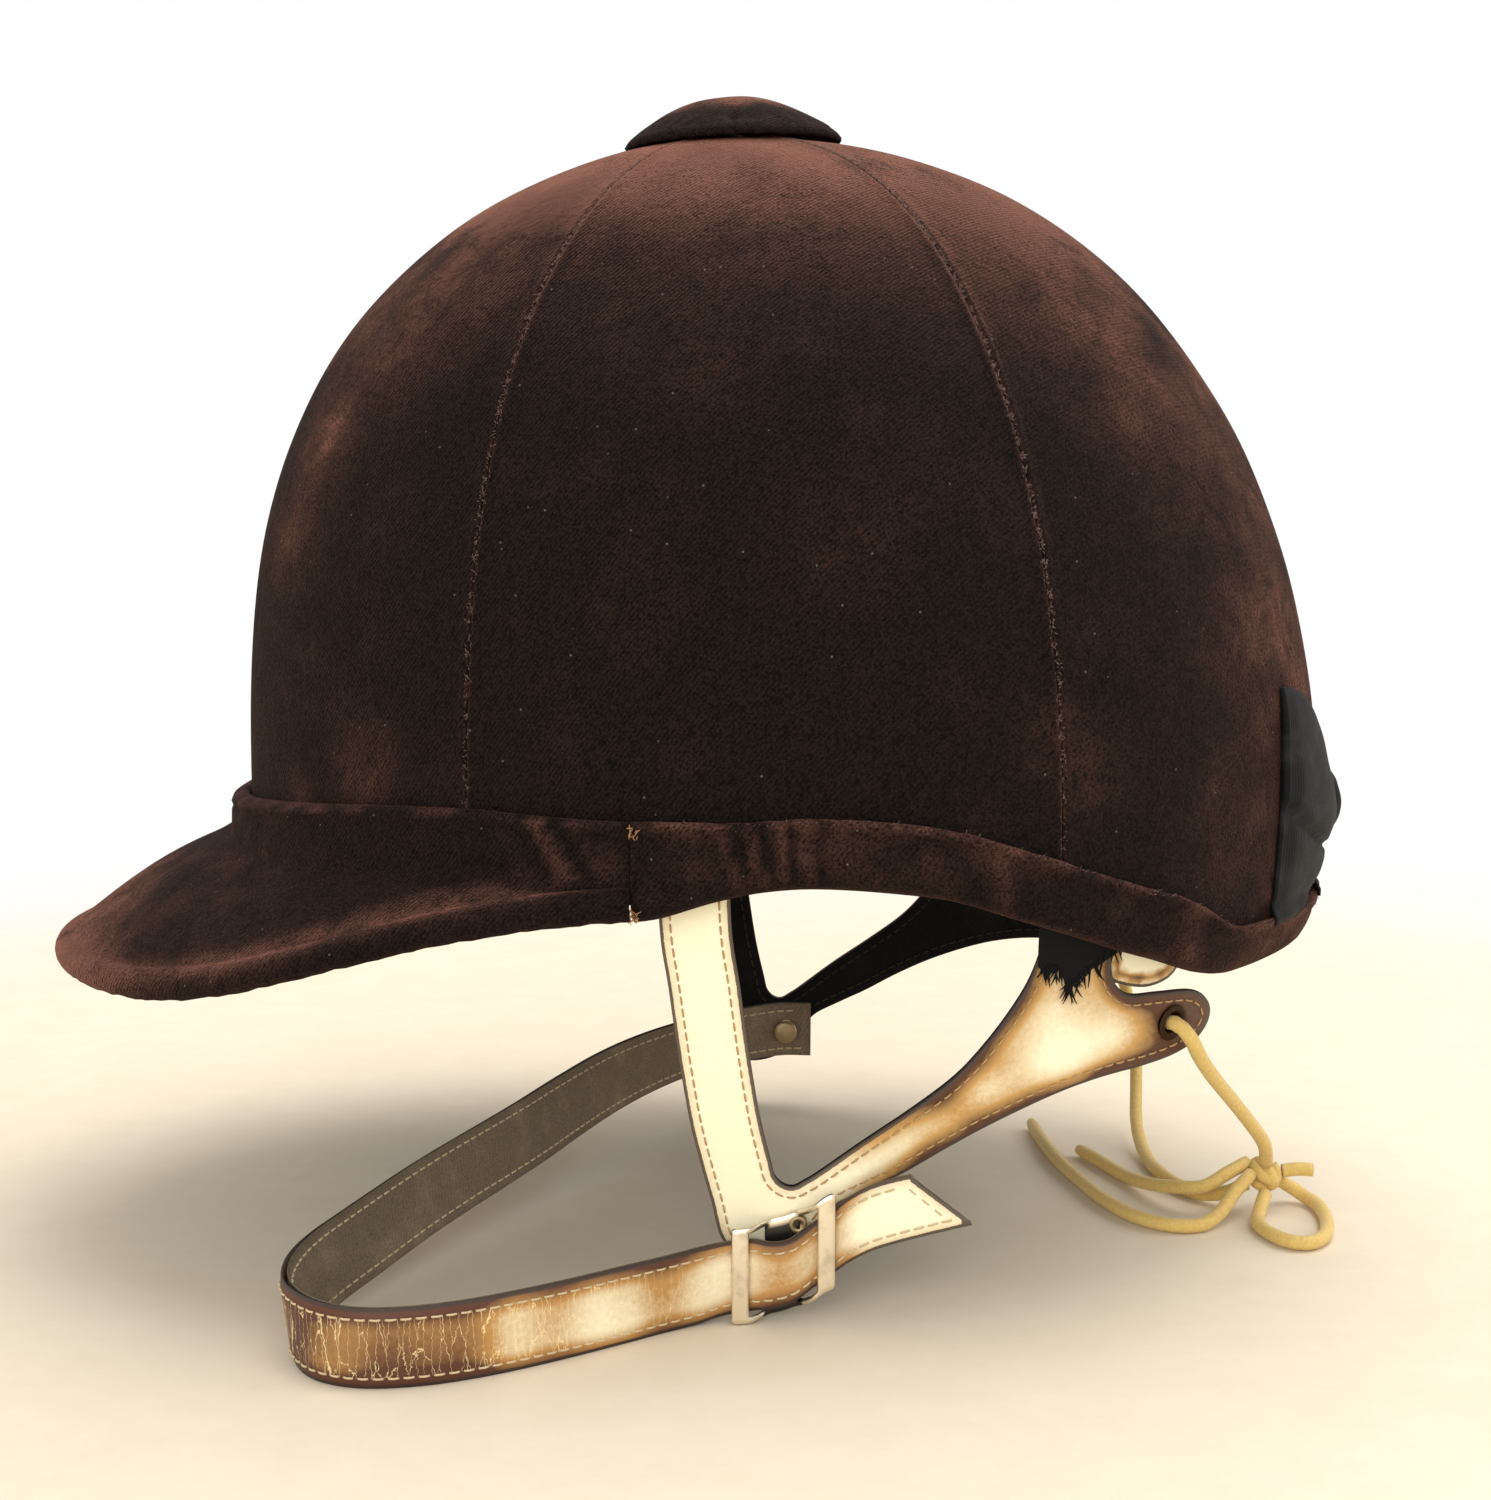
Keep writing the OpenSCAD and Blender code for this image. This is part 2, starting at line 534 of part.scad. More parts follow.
// Chin strap: its outer face's middle line, drawn for V ends 85 mm from the middle,
// then the width's change from the chin and the outward tilt
half_gap = harness_y(pivot[0], pivot[1], 0);
end_taper = chin_w - chin_end_w;
chin_route = [
    [37, -91.6, 8.4, 1, 0], [27, -90.6, 5.6, 1, 0], [18, -89.6, 2.8, 0.9, 0], [12.5, -89, -0.2, 0.9, 0],
    [9.5, -89, -2.6, 1, 0], [5.6, -89, -5.6, 1, 0], [1, -91, -8.4, 1, 0], [-3.6, -91, -9.5, 0.8, 0],
    [-8, -89, -10, 0.3, 0], [-13.4, -89, -10.9, 0.2, 0], [-18, -91, -11.6, 0, 0],
    [-25, -95, -12.1, 0, 0], [-34, -101.7, -12.1, 0, 0], [-43, -108.3, -12.1, 0, 0],
    [-52, -114.2, -12.1, 0, 0], [-60.4, -119, -12.1, 0, 0], [-69, -122.4, -12.1, 0, 0],
    [-78, -124, -12.1, 0, 0], [-85, -123, -12.1, 0, 0], [-91.3, -119.3, -12.1, 0, 0],
    [-96, -113.3, -12.1, 0, 3], [-98.8, -106, -12, 0, 8], [-99.2, -97.5, -11.8, 0, 14],
    [-98, -88.5, -11.6, 0, 20], [-95.4, -79.5, -11.2, 0, 25], [-91.6, -69, -10.8, 0, 29],
    [-87, -56.5, -10.2, 0, 30], [-81.3, -43.5, -9, 0, 30], [-74.5, -30, -7.6, 0, 30],
    [-67.6, -16.5, -6.4, 0, 28], [-60.6, -2, -5.2, 0, 25], [-53.4, 15, -4, 0, 20],
    [-45.2, 33.5, -2.9, 0, 15], [-37, 48, -2, 0.1, 10], [-28, 60, -1.2, 0.3, 6],
    [-18, 70, -0.6, 0.5, 4], [-8, 77, -0.2, 0.6, 5], [1, 80.9, 0, 0.6, 6], [9, 80.6, 0, 0.6, 6]];
chin_last = len(chin_route) - 1;
function chin_mid(i) =
    let (s = chin_route[i]) [pivot[0] - 2 + s[0], s[1] * half_gap / 85, pivot[1] + s[2]];
function chin_out(i) =
    let (d = chin_mid(min(chin_last, i + 1)) - chin_mid(max(0, i - 1)))
    [-d[1], d[0], 0] / norm([d[0], d[1]]);
function chin_point(i, share, depth) =
    let (s = chin_route[i], tilt = s[4], out = chin_out(i), w = chin_w - end_taper * s[3])
    chin_mid(i) + w * share * ([0, 0, cos(tilt)] + sin(tilt) * out)
    - depth * (cos(tilt) * out - [0, 0, sin(tilt)]);
module chin_layer(from, to, margin) {
    difference() {
        slab([for (s = [0.5, -0.5]) [for (i = [0:chin_last]) chin_point(i, s * (1 - margin), from)]],
             [for (s = [0.5, -0.5]) [for (i = [0:chin_last]) chin_point(i, s * (1 - margin), to)]]);
        translate([pivot[0], 0, pivot[1]]) rotate([-90, 0, 0])
            cylinder(h = through, r = pivot_r + 0.05, $fn = 32);
        translate([pivot[0] + 22, 0, pivot[1] + 10.5]) rotate([90, 0, 0])
            linear_extrude(through) polygon([[0, 0], [14, -10], [30, -10], [30, 20], [0, 20]]);
    }
}
module chin_strap() color(leather_tan) chin_layer(0, chin_t, 0);
module chin_strap_backing() color(suede_dark) chin_layer(chin_t + 0.1, chin_t + 0.1 + chin_back_t, 0.02);

// Slide: stamped from one sheet, both bars in front of the strap and the middle behind it,
// riveted to the near V. Its outline follows the slanting strap.
slide_back = half_gap + move_gap + 0.5;
slide_front = 89.4 * half_gap / 85;
slide_left = pivot[0] - 13.6;
slide_rise = [[0, 0], [9.6, 1.4], [14, 3], [slide_l, 7.4]];
slide_h = chin_w + 4.4;
slide_low = pivot[1] - 19.8;
function slide_at(t) = slide_low + lookup(t, slide_rise);
module slide_outline(trim, from, to) {
    polygon(concat([for (t = [from : (to - from) / 4 : to]) [slide_left + t, slide_at(t) + trim]],
                   [for (t = [to : (from - to) / 4 : from]) [slide_left + t, slide_at(t) + slide_h - trim]]));
}
module strap_slide() {
    bend = 2.4;
    wave = [[0, slide_front], [slide_bar_w, slide_front], [slide_bar_w + bend, slide_back],
            [slide_l - slide_bar_w - bend, slide_back], [slide_l - slide_bar_w, slide_front],
            [slide_l, slide_front]];
    edge_w = 1.3;
    color(nickel)
        difference() {
            intersection() {
                translate([slide_left, 0, slide_low - 5]) linear_extrude(slide_h + 20)
                    polygon(concat([for (p = wave) [p[0], -p[1]]],
                                   [for (i = [5:-1:0]) [wave[i][0], -wave[i][1] - slide_t]]));
                side_cut() slide_outline(0, 0, slide_l);
            }
            side_cut() slide_outline(edge_w, slide_bar_w, slide_bar_w + bend + 1.2);
            side_cut() slide_outline(edge_w, slide_l - slide_bar_w - bend - 1.2, slide_l - slide_bar_w);
            translate([pivot[0], 0, pivot[1]]) rotate([90, 0, 0])
                cylinder(h = through, r = pivot_r + 0.05, $fn = 32);
        }
}
// Rivets on one axis through the V ends: they turn with the chin strap
module strap_rivets() {
    stack = leather_t + fit_gap + suede_t;
    lean_room = move_gap + harness_lean * 3.4;
    near_h = slide_back + slide_t - half_gap + stack + lean_room;
    strap_in = 80.9 * half_gap / 85 - chin_t - chin_back_t - 1.5;
    far_h = half_gap + lean_room - strap_in;
    color(nickel) {
        translate([pivot[0], -slide_back - slide_t, pivot[1]]) rotate([-90, 0, 0]) {
            translate([0, 0, -0.25]) cylinder(h = 0.25, r = 1.9, $fn = 32);
            cylinder(h = near_h, r = pivot_r, $fn = 32);
            translate([0, 0, near_h]) cylinder(h = 0.9, r = 3.4, $fn = 32);
        }
        translate([pivot[0], strap_in, pivot[1]]) rotate([-90, 0, 0]) {
            translate([0, 0, -0.9]) cylinder(h = 0.9, r = 3.2, $fn = 32);
            cylinder(h = far_h, r = pivot_r, $fn = 32);
            translate([0, 0, far_h]) cylinder(h = 0.9, r = 3.4, $fn = 32);
        }
    }
}

// Ribbon bow on the back of the crown; the ribbon rises over the band's edge
bow_mid_z = 8.5;
function bow_middle(phi) = bow_mid_z - 5.5 + 6 * ease(abs(phi) / bow_angle);
function bow_half(phi) = (bow_knot_h + (bow_end_h - bow_knot_h) * ease(abs(phi) / bow_angle)) / 2;
function bow_low(phi) = bow_middle(phi) - bow_half(phi);
function bow_high(phi) = bow_middle(phi) + bow_half(phi);
function ribbon_seat(phi, z) =
    fit_gap + 0.2 + (band_t + 0.5) * (1 - ease((z - band_top(phi)) / 3));
module bow_loop(side) {
    angles = [for (i = [0:6]) side * (5 + (bow_angle - 5) * i / 6)];
    list = side > 0 ? angles : [for (i = [6:-1:0]) angles[i]];
    shares = [0, 0.12, 0.3, 0.55, 0.85, 1];
    puff = [1, 1.7, 2.6, 3, 2.2, 1];
    function slanted(a, share) = a * (1 - 0.12 * (share - 0.4) * abs(a) / bow_angle);
    color(ribbon_black)
        slab([for (i = [0:5]) [for (a = list)
                 let (z = bow_low(a) + (bow_high(a) - bow_low(a)) * shares[i], b = slanted(a, shares[i]))
                 wall_point(b, z, -ribbon_seat(b, z) - puff[i] * (1.1 - 0.5 * abs(a) / bow_angle))]],
             [for (i = [0:5]) [for (a = list)
                 let (z = bow_low(a) + (bow_high(a) - bow_low(a)) * shares[i], b = slanted(a, shares[i]))
                 wall_point(b, z, -ribbon_seat(b, z))]]);
}
module bow_loop_left() bow_loop(-1);
module bow_loop_right() bow_loop(1);
module bow_knot() {
    knot_z = bow_mid_z - 5.5;
    high = 17;
    angles = columns(-4.6, 4.6, 2.3);
    color(ribbon_black)
        slab([for (i = [0:6]) [for (a = angles)
                 let (t = i / 6 * 2 - 1)
                 wall_point(a, knot_z + t * high / 2,
                            -1.4 - 6.4 * sqrt(max(0, 1 - t * t * 0.96)) * (1 - 0.02 * a * a))]],
             [for (i = [0:6]) [for (a = angles)
                 wall_point(a, knot_z + (i / 6 * 2 - 1) * high / 2, -fit_gap - 0.1)]]);
}
module bow_tails() {
    color(ribbon_black)
        for (side = [-1, 1])
            slab([for (i = [0:3]) [for (j = [0:2])
                     tail_point(side, i / 3, side > 0 ? j / 2 : 1 - j / 2, 0.8)]],
                 [for (i = [0:3]) [for (j = [0:2])
                     tail_point(side, i / 3, side > 0 ? j / 2 : 1 - j / 2, 0)]]);
}
function tail_point(side, down, over, rise) =
    let (top = bow_mid_z - 5.5 - 17 / 2 - 0.4, z = top - 10 + 10 * down,
         a = side * (0.6 + 3.6 * (1 - down) + over * (2.6 + 4.2 * (1 - down))))
    wall_point(a, z, -ribbon_seat(a, z) - rise);

// Nape lace: routes chosen by hand, from the eyelets to the bow knot behind the nape
lace_r = lace_d / 2;
lace_crossing_route = [[80.2, -62.2, -35.7], [77.7, -59.1, -35.7], [77, -56.2, -37.2], [78, -51.5, -40.3],
                       [80, -44, -44.2], [81.6, -33, -48.5], [83, -20, -52], [83.6, 0, -53.8], [83, 20, -52],
                       [81.6, 33, -48.5], [80, 44, -44.2], [78, 51.5, -40.3], [77, 56.2, -37.2],
                       [77.7, 59.1, -35.7], [80.2, 62.2, -35.7]];
lace_left_route = [[80.2, -62.2, -35.7], [82.2, -64.68, -35.7], [84.8, -65.2, -38.7], [87.4, -61.6, -43.4],
                   [91.6, -54.6, -49.5], [97.8, -45, -57.3], [104.3, -35, -65.6], [109.3, -26.5, -72.8],
                   [111.4, -19.5, -79.2]];
lace_right_route = [[80.2, 62.2, -35.7], [82.2, 64.68, -35.7], [85.4, 66.4, -39.8], [89, 65, -49],
                    [91.5, 62, -57.5], [93, 58.5, -66], [93, 53.5, -74], [92, 46.5, -81], [90.8, 38, -86],
                    [90.6, 29, -89.2], [90.8, 19, -90.2], [91.6, 10, -90.2], [94.2, -0.5, -90.2],
                    [98.5, -8.5, -90.2], [104, -12, -88.6], [108.2, -13.4, -86]];
lace_loop_route = [[115.4, -12.2, -85.2], [119.5, -9, -88.2], [122.5, -10.5, -90], [124.2, -16, -90.2],
                   [124.2, -23, -90.2], [123, -31, -90.2], [120.4, -39, -90.2], [116.4, -43.5, -90.2],
                   [112, -42.6, -90.2], [109, -37.5, -90.2], [107.6, -30.5, -90.2], [109, -24, -89.9],
                   [111.6, -18.6, -86.8]];
lace_end_long_route = [[108.7, -16.4, -82.8], [104.4, -20.6, -85.4], [100, -26.6, -88.4], [95, -31, -90.2],
                       [88, -31.5, -90.2], [82, -27, -90.2], [77.6, -19.5, -90.2], [74, -8.5, -90.2],
                       [71.4, 3, -90.2], [69, 15, -90.2], [67.4, 27, -90.2], [66.4, 39, -90.2],
                       [65.8, 52, -90.2]];
lace_end_short_route = [[108.4, -12.8, -81.2], [103.5, -16, -82.6], [97.6, -17.8, -85.4],
                        [92.6, -14.5, -86.6], [87.2, -5, -88.8], [83, 6, -90.2], [79, 17, -90.2],
                        [75, 28, -90.2]];
lace_stub_route = [[116.4, -14, -82.8], [120, -14, -82.4], [123.4, -14, -82.6]];
module lace(route) color(lace_tan) tube(route, lace_r, 8);
module lace_knot() {
    color(lace_tan) translate([112, -14.5, -83.4])
        rotate_extrude($fn = 32) polygon([[0, -4.4], [2.4, -4], [4, -2.4], [4.5, 0], [4, 2.4],
                                          [2.4, 4], [0, 4.4]]);
}

hard_shell();
peak_board();
peak_edge_cord();
peak_cover();
peak_lining();
crown_panel_front();
crown_panel_left();
crown_panel_right();
crown_panel_rear();
rear_band();
crown_button();
button_rivet();
bow_loop_left();
bow_loop_right();
bow_tails();
bow_knot();
foam_liner();
crown_lining();
sweatband();
harness_left();
harness_left_lining();
harness_right();
harness_right_lining();
rear_tab_left();
rear_tab_right();
harness_rivets();
lace_eyelets();
frayed_tape();
chin_strap();
chin_strap_backing();
strap_slide();
strap_rivets();
lace(lace_crossing_route);  // lace_crossing
lace(lace_left_route);  // lace_left
lace(lace_right_route);  // lace_right
lace(lace_loop_route);  // lace_loop
lace(lace_end_long_route);  // lace_end_long
lace(lace_end_short_route);  // lace_end_short
lace(lace_stub_route);  // lace_stub
lace_knot();
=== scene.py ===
# Velvet riding cap with its harness, chin strap and nape lace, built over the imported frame.
# Pieces are drawn in millimetres and made in metres. X points to the back, -Y to the wearer's left.
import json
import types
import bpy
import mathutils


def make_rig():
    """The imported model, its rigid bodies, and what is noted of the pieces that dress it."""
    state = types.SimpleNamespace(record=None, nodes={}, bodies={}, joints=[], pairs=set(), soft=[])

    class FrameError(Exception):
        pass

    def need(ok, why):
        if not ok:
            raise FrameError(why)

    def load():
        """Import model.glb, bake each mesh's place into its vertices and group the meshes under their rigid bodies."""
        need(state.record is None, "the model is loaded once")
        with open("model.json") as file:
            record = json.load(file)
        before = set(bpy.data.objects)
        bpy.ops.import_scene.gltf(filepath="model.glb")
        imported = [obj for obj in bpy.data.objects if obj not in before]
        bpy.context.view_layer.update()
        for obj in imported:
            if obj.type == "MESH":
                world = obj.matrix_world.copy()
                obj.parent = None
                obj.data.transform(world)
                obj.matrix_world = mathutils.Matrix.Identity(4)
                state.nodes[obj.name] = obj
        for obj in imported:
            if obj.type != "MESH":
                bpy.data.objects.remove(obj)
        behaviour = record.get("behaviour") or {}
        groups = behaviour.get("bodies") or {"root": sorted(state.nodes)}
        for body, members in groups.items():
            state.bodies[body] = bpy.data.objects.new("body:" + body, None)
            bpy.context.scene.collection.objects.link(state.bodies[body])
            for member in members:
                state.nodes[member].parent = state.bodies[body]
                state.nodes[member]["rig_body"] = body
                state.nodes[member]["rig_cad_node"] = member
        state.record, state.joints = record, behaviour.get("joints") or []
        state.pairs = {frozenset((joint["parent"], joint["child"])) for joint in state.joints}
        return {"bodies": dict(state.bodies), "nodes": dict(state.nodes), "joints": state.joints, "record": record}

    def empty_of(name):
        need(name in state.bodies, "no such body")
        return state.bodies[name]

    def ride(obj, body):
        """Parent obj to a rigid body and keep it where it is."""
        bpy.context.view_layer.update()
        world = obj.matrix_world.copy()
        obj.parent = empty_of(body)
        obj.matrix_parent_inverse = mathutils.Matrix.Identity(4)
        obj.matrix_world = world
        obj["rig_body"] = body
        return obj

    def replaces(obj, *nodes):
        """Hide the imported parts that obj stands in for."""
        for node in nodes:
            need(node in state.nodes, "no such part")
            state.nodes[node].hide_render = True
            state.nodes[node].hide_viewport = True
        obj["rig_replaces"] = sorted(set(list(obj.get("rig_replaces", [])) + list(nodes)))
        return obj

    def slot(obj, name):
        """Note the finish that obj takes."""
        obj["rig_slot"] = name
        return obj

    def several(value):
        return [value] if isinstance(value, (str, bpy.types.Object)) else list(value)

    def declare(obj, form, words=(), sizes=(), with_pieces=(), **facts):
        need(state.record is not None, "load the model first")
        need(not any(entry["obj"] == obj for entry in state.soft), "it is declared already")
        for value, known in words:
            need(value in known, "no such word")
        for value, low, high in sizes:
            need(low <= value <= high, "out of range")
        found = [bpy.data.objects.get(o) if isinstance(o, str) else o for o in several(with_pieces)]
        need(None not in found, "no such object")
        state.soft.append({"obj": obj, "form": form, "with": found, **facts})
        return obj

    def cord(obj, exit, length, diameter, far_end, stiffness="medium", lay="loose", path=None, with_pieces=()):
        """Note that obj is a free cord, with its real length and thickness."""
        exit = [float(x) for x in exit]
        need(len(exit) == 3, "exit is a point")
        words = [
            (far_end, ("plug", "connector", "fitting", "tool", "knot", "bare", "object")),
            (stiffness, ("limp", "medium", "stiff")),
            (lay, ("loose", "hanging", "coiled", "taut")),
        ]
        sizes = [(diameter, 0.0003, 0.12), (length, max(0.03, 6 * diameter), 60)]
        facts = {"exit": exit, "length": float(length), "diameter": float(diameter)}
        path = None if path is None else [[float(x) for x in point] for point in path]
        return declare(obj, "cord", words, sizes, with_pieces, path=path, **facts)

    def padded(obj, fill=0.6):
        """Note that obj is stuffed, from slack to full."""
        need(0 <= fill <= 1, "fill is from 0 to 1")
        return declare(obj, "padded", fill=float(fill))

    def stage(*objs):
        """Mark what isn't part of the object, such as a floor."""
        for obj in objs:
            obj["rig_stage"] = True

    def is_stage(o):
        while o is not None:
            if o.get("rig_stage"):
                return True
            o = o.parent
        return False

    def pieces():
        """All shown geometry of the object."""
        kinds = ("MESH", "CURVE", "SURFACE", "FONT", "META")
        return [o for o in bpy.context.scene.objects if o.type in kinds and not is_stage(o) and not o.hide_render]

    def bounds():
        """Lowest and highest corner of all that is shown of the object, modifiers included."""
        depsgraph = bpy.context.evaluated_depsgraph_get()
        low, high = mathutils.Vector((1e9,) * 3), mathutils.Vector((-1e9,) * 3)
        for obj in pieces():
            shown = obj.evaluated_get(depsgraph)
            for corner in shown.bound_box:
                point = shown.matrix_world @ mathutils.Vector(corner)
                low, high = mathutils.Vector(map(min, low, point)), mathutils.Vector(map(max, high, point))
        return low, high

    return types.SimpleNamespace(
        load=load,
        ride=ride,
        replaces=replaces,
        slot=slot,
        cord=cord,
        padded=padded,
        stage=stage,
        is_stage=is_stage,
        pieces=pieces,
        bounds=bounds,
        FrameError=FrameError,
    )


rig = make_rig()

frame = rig.load()
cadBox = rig.bounds()

import functools
import json
import math
import random

import bpy
import numpy as np
from mathutils import Matrix, Vector, noise
from mathutils.geometry import delaunay_2d_cdt

scene = bpy.context.scene
scene.view_settings.view_transform = "Standard"
metre = 0.001
cap = "cap"
swing = "chin_strap"

# Camera: the photograph's viewing angle
cameraSettings = {
    "place": (-0.0087, -0.560, 0.085),
    "pitch": 82.8,          # degrees from straight down
    "lens": 58.29,
}
cameraData = bpy.data.cameras.new("camera")
cameraData.sensor_fit = "HORIZONTAL"
cameraData.sensor_width = 36
cameraData.lens = cameraSettings["lens"]
cameraData.clip_start = 0.01
camera = bpy.data.objects.new("camera", cameraData)
camera.location = cameraSettings["place"]
camera.rotation_euler = (math.radians(cameraSettings["pitch"]), 0, 0)
scene.collection.objects.link(camera)
scene.camera = camera
print("camera placed")


# Small helpers for curves and meshes
def ease(t):
    c = min(1, max(0, t))
    return c * c * (3 - 2 * c)


def between(a, b, t):
    return a + (b - a) * t


def shares(count):
    return [k / count for k in range(count + 1)]


def outwards(degrees):
    # The level direction at an angle round the cap
    a = math.radians(degrees)
    return np.array((math.cos(a), math.sin(a), 0))


def splineSpan(a, b, c, d, parts):
    # Catmull-Rom points from b to just before c
    return [0.5 * (2 * b + (c - a) * t + (2 * a - 5 * b + 4 * c - d) * t ** 2
                   + (3 * b - a - 3 * c + d) * t ** 3) for t in shares(parts)[:-1]]


def curveThrough(points, parts):
    # Open smooth line through points of any size
    pts = [np.array(p, float) for p in points]
    pts = [2 * pts[0] - pts[1]] + pts + [2 * pts[-1] - pts[-2]]
    line = []
    for i in range(len(points) - 1):
        line += splineSpan(*pts[i:i + 4], parts)
    return np.array(line + [pts[-2]])


def smoothOutline(points, corners=(), parts=5):
    # Closed smooth line that keeps the listed corners sharp
    pts = [np.array(p, float) for p in points]
    count = len(pts)
    line = []
    for i in range(count):
        b, c = pts[i], pts[(i + 1) % count]
        a = 2 * b - c if i in corners else pts[i - 1]
        d = 2 * c - b if (i + 1) % count in corners else pts[(i + 2) % count]
        line += splineSpan(a, b, c, d, parts)
    return np.array(line)


def lengthsAlong(line):
    return np.concatenate([[0], np.cumsum(np.linalg.norm(np.diff(line, axis=0), axis=1))])


def evenLine(line, count, closed=False):
    # The same line with count points at equal steps
    pts = np.vstack([line, line[:1]]) if closed else np.asarray(line)
    lengths = lengthsAlong(pts)
    marks = np.linspace(0, lengths[-1], count + 1)[:-1] if closed else np.linspace(0, lengths[-1], count)
    return np.stack([np.interp(marks, lengths, pts[:, k]) for k in range(pts.shape[1])], axis=1)


def lineLength(line, closed=False):
    return float(lengthsAlong(np.vstack([line, line[:1]]) if closed else line)[-1])


def smoothLookup(value, table):
    # Monotone cubic through a table of pairs
    xs, ys = zip(*table)
    if value <= xs[0]:
        return ys[0]
    if value >= xs[-1]:
        return ys[-1]
    i = max(k for k in range(len(xs) - 1) if xs[k] <= value)
    steps = [(ys[k + 1] - ys[k]) / (xs[k + 1] - xs[k]) for k in range(len(xs) - 1)]

    def slope(k):
        if k == 0 or k == len(xs) - 1 or steps[k - 1] * steps[k] <= 0:
            return 0
        return 2 * steps[k - 1] * steps[k] / (steps[k - 1] + steps[k])
    h = xs[i + 1] - xs[i]
    t = (value - xs[i]) / h
    return ((2 * t ** 3 - 3 * t ** 2 + 1) * ys[i] + (t ** 3 - 2 * t ** 2 + t) * h * slope(i)
            + (3 * t ** 2 - 2 * t ** 3) * ys[i + 1] + (t ** 3 - t ** 2) * h * slope(i + 1))


def makePiece(name, points, faces, material, flow=None, masks=None, body=cap, replaces=(), slot=None):
    # flow is a vector for each point, and masks are named numbers for each point
    mesh = bpy.data.meshes.new(name)
    mesh.from_pydata([tuple(float(c) * metre for c in p) for p in points], [], faces)
    mesh.update()
    if flow is not None:
        layer = mesh.attributes.new("flow", "FLOAT_VECTOR", "POINT")
        layer.data.foreach_set("vector", np.array(flow, np.float32).ravel())
    for key, values in (masks or {}).items():
        layer = mesh.attributes.new(key, "FLOAT", "POINT")
        layer.data.foreach_set("value", np.array(values, np.float32))
    mesh.polygons.foreach_set("use_smooth", [True] * len(mesh.polygons))
    mesh.materials.append(material)
    piece = bpy.data.objects.new(name, mesh)
    scene.collection.objects.link(piece)
    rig.ride(piece, body)
    if replaces:
        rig.replaces(piece, *replaces)
    if slot:
        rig.slot(piece, slot)
    return piece


def gridFaces(rows, columns, wrap=False, start=0, flip=False):
    faces = []
    for i in range(rows - 1):
        for j in range(columns if wrap else columns - 1):
            a, b = start + i * columns + j, start + i * columns + (j + 1) % columns
            face = (a, b, b + columns, a + columns)
            faces.append(face[::-1] if flip else face)
    return faces


def closedSlab(outer, inner, wrap=False):
    # Points and faces of a sheet with thickness: rows run up, columns run against the clock from above
    rows, columns = len(outer), len(outer[0])
    points = [p for row in outer for p in row] + [p for row in inner for p in row]
    half = rows * columns
    faces = gridFaces(rows, columns, wrap) + gridFaces(rows, columns, wrap, half, True)
    for j in range(columns if wrap else columns - 1):
        k = (j + 1) % columns
        top = (rows - 1) * columns
        faces.append((j, half + j, half + k, k))
        faces.append((top + k, half + top + k, half + top + j, top + j))
    if not wrap:
        for i in range(rows - 1):
            a, b = i * columns, (i + 1) * columns
            faces.append((a, b, half + b, half + a))
            a, b = a + columns - 1, b + columns - 1
            faces.append((b, a, half + a, half + b))
    return points, faces


def slabOf(rows, columns, cell, wrap=False):
    # The same from cell(row, column), which gives the outer point, the inner point and values to keep
    cells = [[cell(row, column) for column in columns] for row in rows]
    outer, inner = ([[found[side] for found in row] for row in cells] for side in (0, 1))
    kept = zip(*(found[2:] for row in cells for found in row))
    return (*closedSlab(outer, inner, wrap), *(list(values) for values in kept))


def tubeMesh(line, radius, sides=10):
    # Tube along a line; radius may be a number or one for each point
    line = np.asarray(line, float)
    count = len(line)
    radii = np.full(count, radius) if np.isscalar(radius) else np.asarray(radius)
    dirs = np.gradient(line, axis=0)
    dirs /= np.linalg.norm(dirs, axis=1)[:, None]
    side = np.cross(dirs[0], (0, 0, 1) if abs(dirs[0][2]) < 0.9 else (1, 0, 0))
    points = []
    for i in range(count):
        side = side - dirs[i] * side.dot(dirs[i])
        side /= np.linalg.norm(side)
        other = np.cross(dirs[i], side)
        for k in range(sides):
            a = 2 * math.pi * k / sides
            points.append(line[i] + radii[i] * (math.cos(a) * side + math.sin(a) * other))
    return points, gridFaces(count, sides, True, 0, True) + endFaces(count, sides)


def endFaces(count, sides):
    # The two caps of a tube of count rings
    return [tuple(range(sides)), tuple((count - 1) * sides + k for k in range(sides))[::-1]]


def joined(parts):
    # One point and face list from several
    points, faces = [], []
    for p, f in parts:
        shift = len(points)
        points.extend(p)
        faces.extend(tuple(i + shift for i in face) for face in f)
    return points, faces


def turnedFaces(steps, rows):
    # Faces of a form turned round an axis, with rows points in its profile
    faces = []
    for k in range(steps):
        for i in range(rows - 1):
            a, b = k * rows + i, (k + 1) % steps * rows + i
            faces.append((a, b, b + 1, a + 1))
    return faces


# Shader helpers
def feed(tree, value, socket):
    # A number or a colour is set on the socket, and an output is linked to it
    if isinstance(value, (int, float, tuple)):
        socket.default_value = value
    else:
        tree.links.new(value, socket)


def addNode(tree, kind, inputs=None, **values):
    # Nodes stand in rows of six, in the order they are made
    node = tree.nodes.new("ShaderNode" + kind)
    count = len(tree.nodes)
    node.location = (220 * (count % 6) - 1500, 600 - 260 * (count // 6))
    for key, value in values.items():
        setattr(node, key, value)
    for key, value in (inputs or {}).items():
        feed(tree, value, node.inputs[key])
    return node


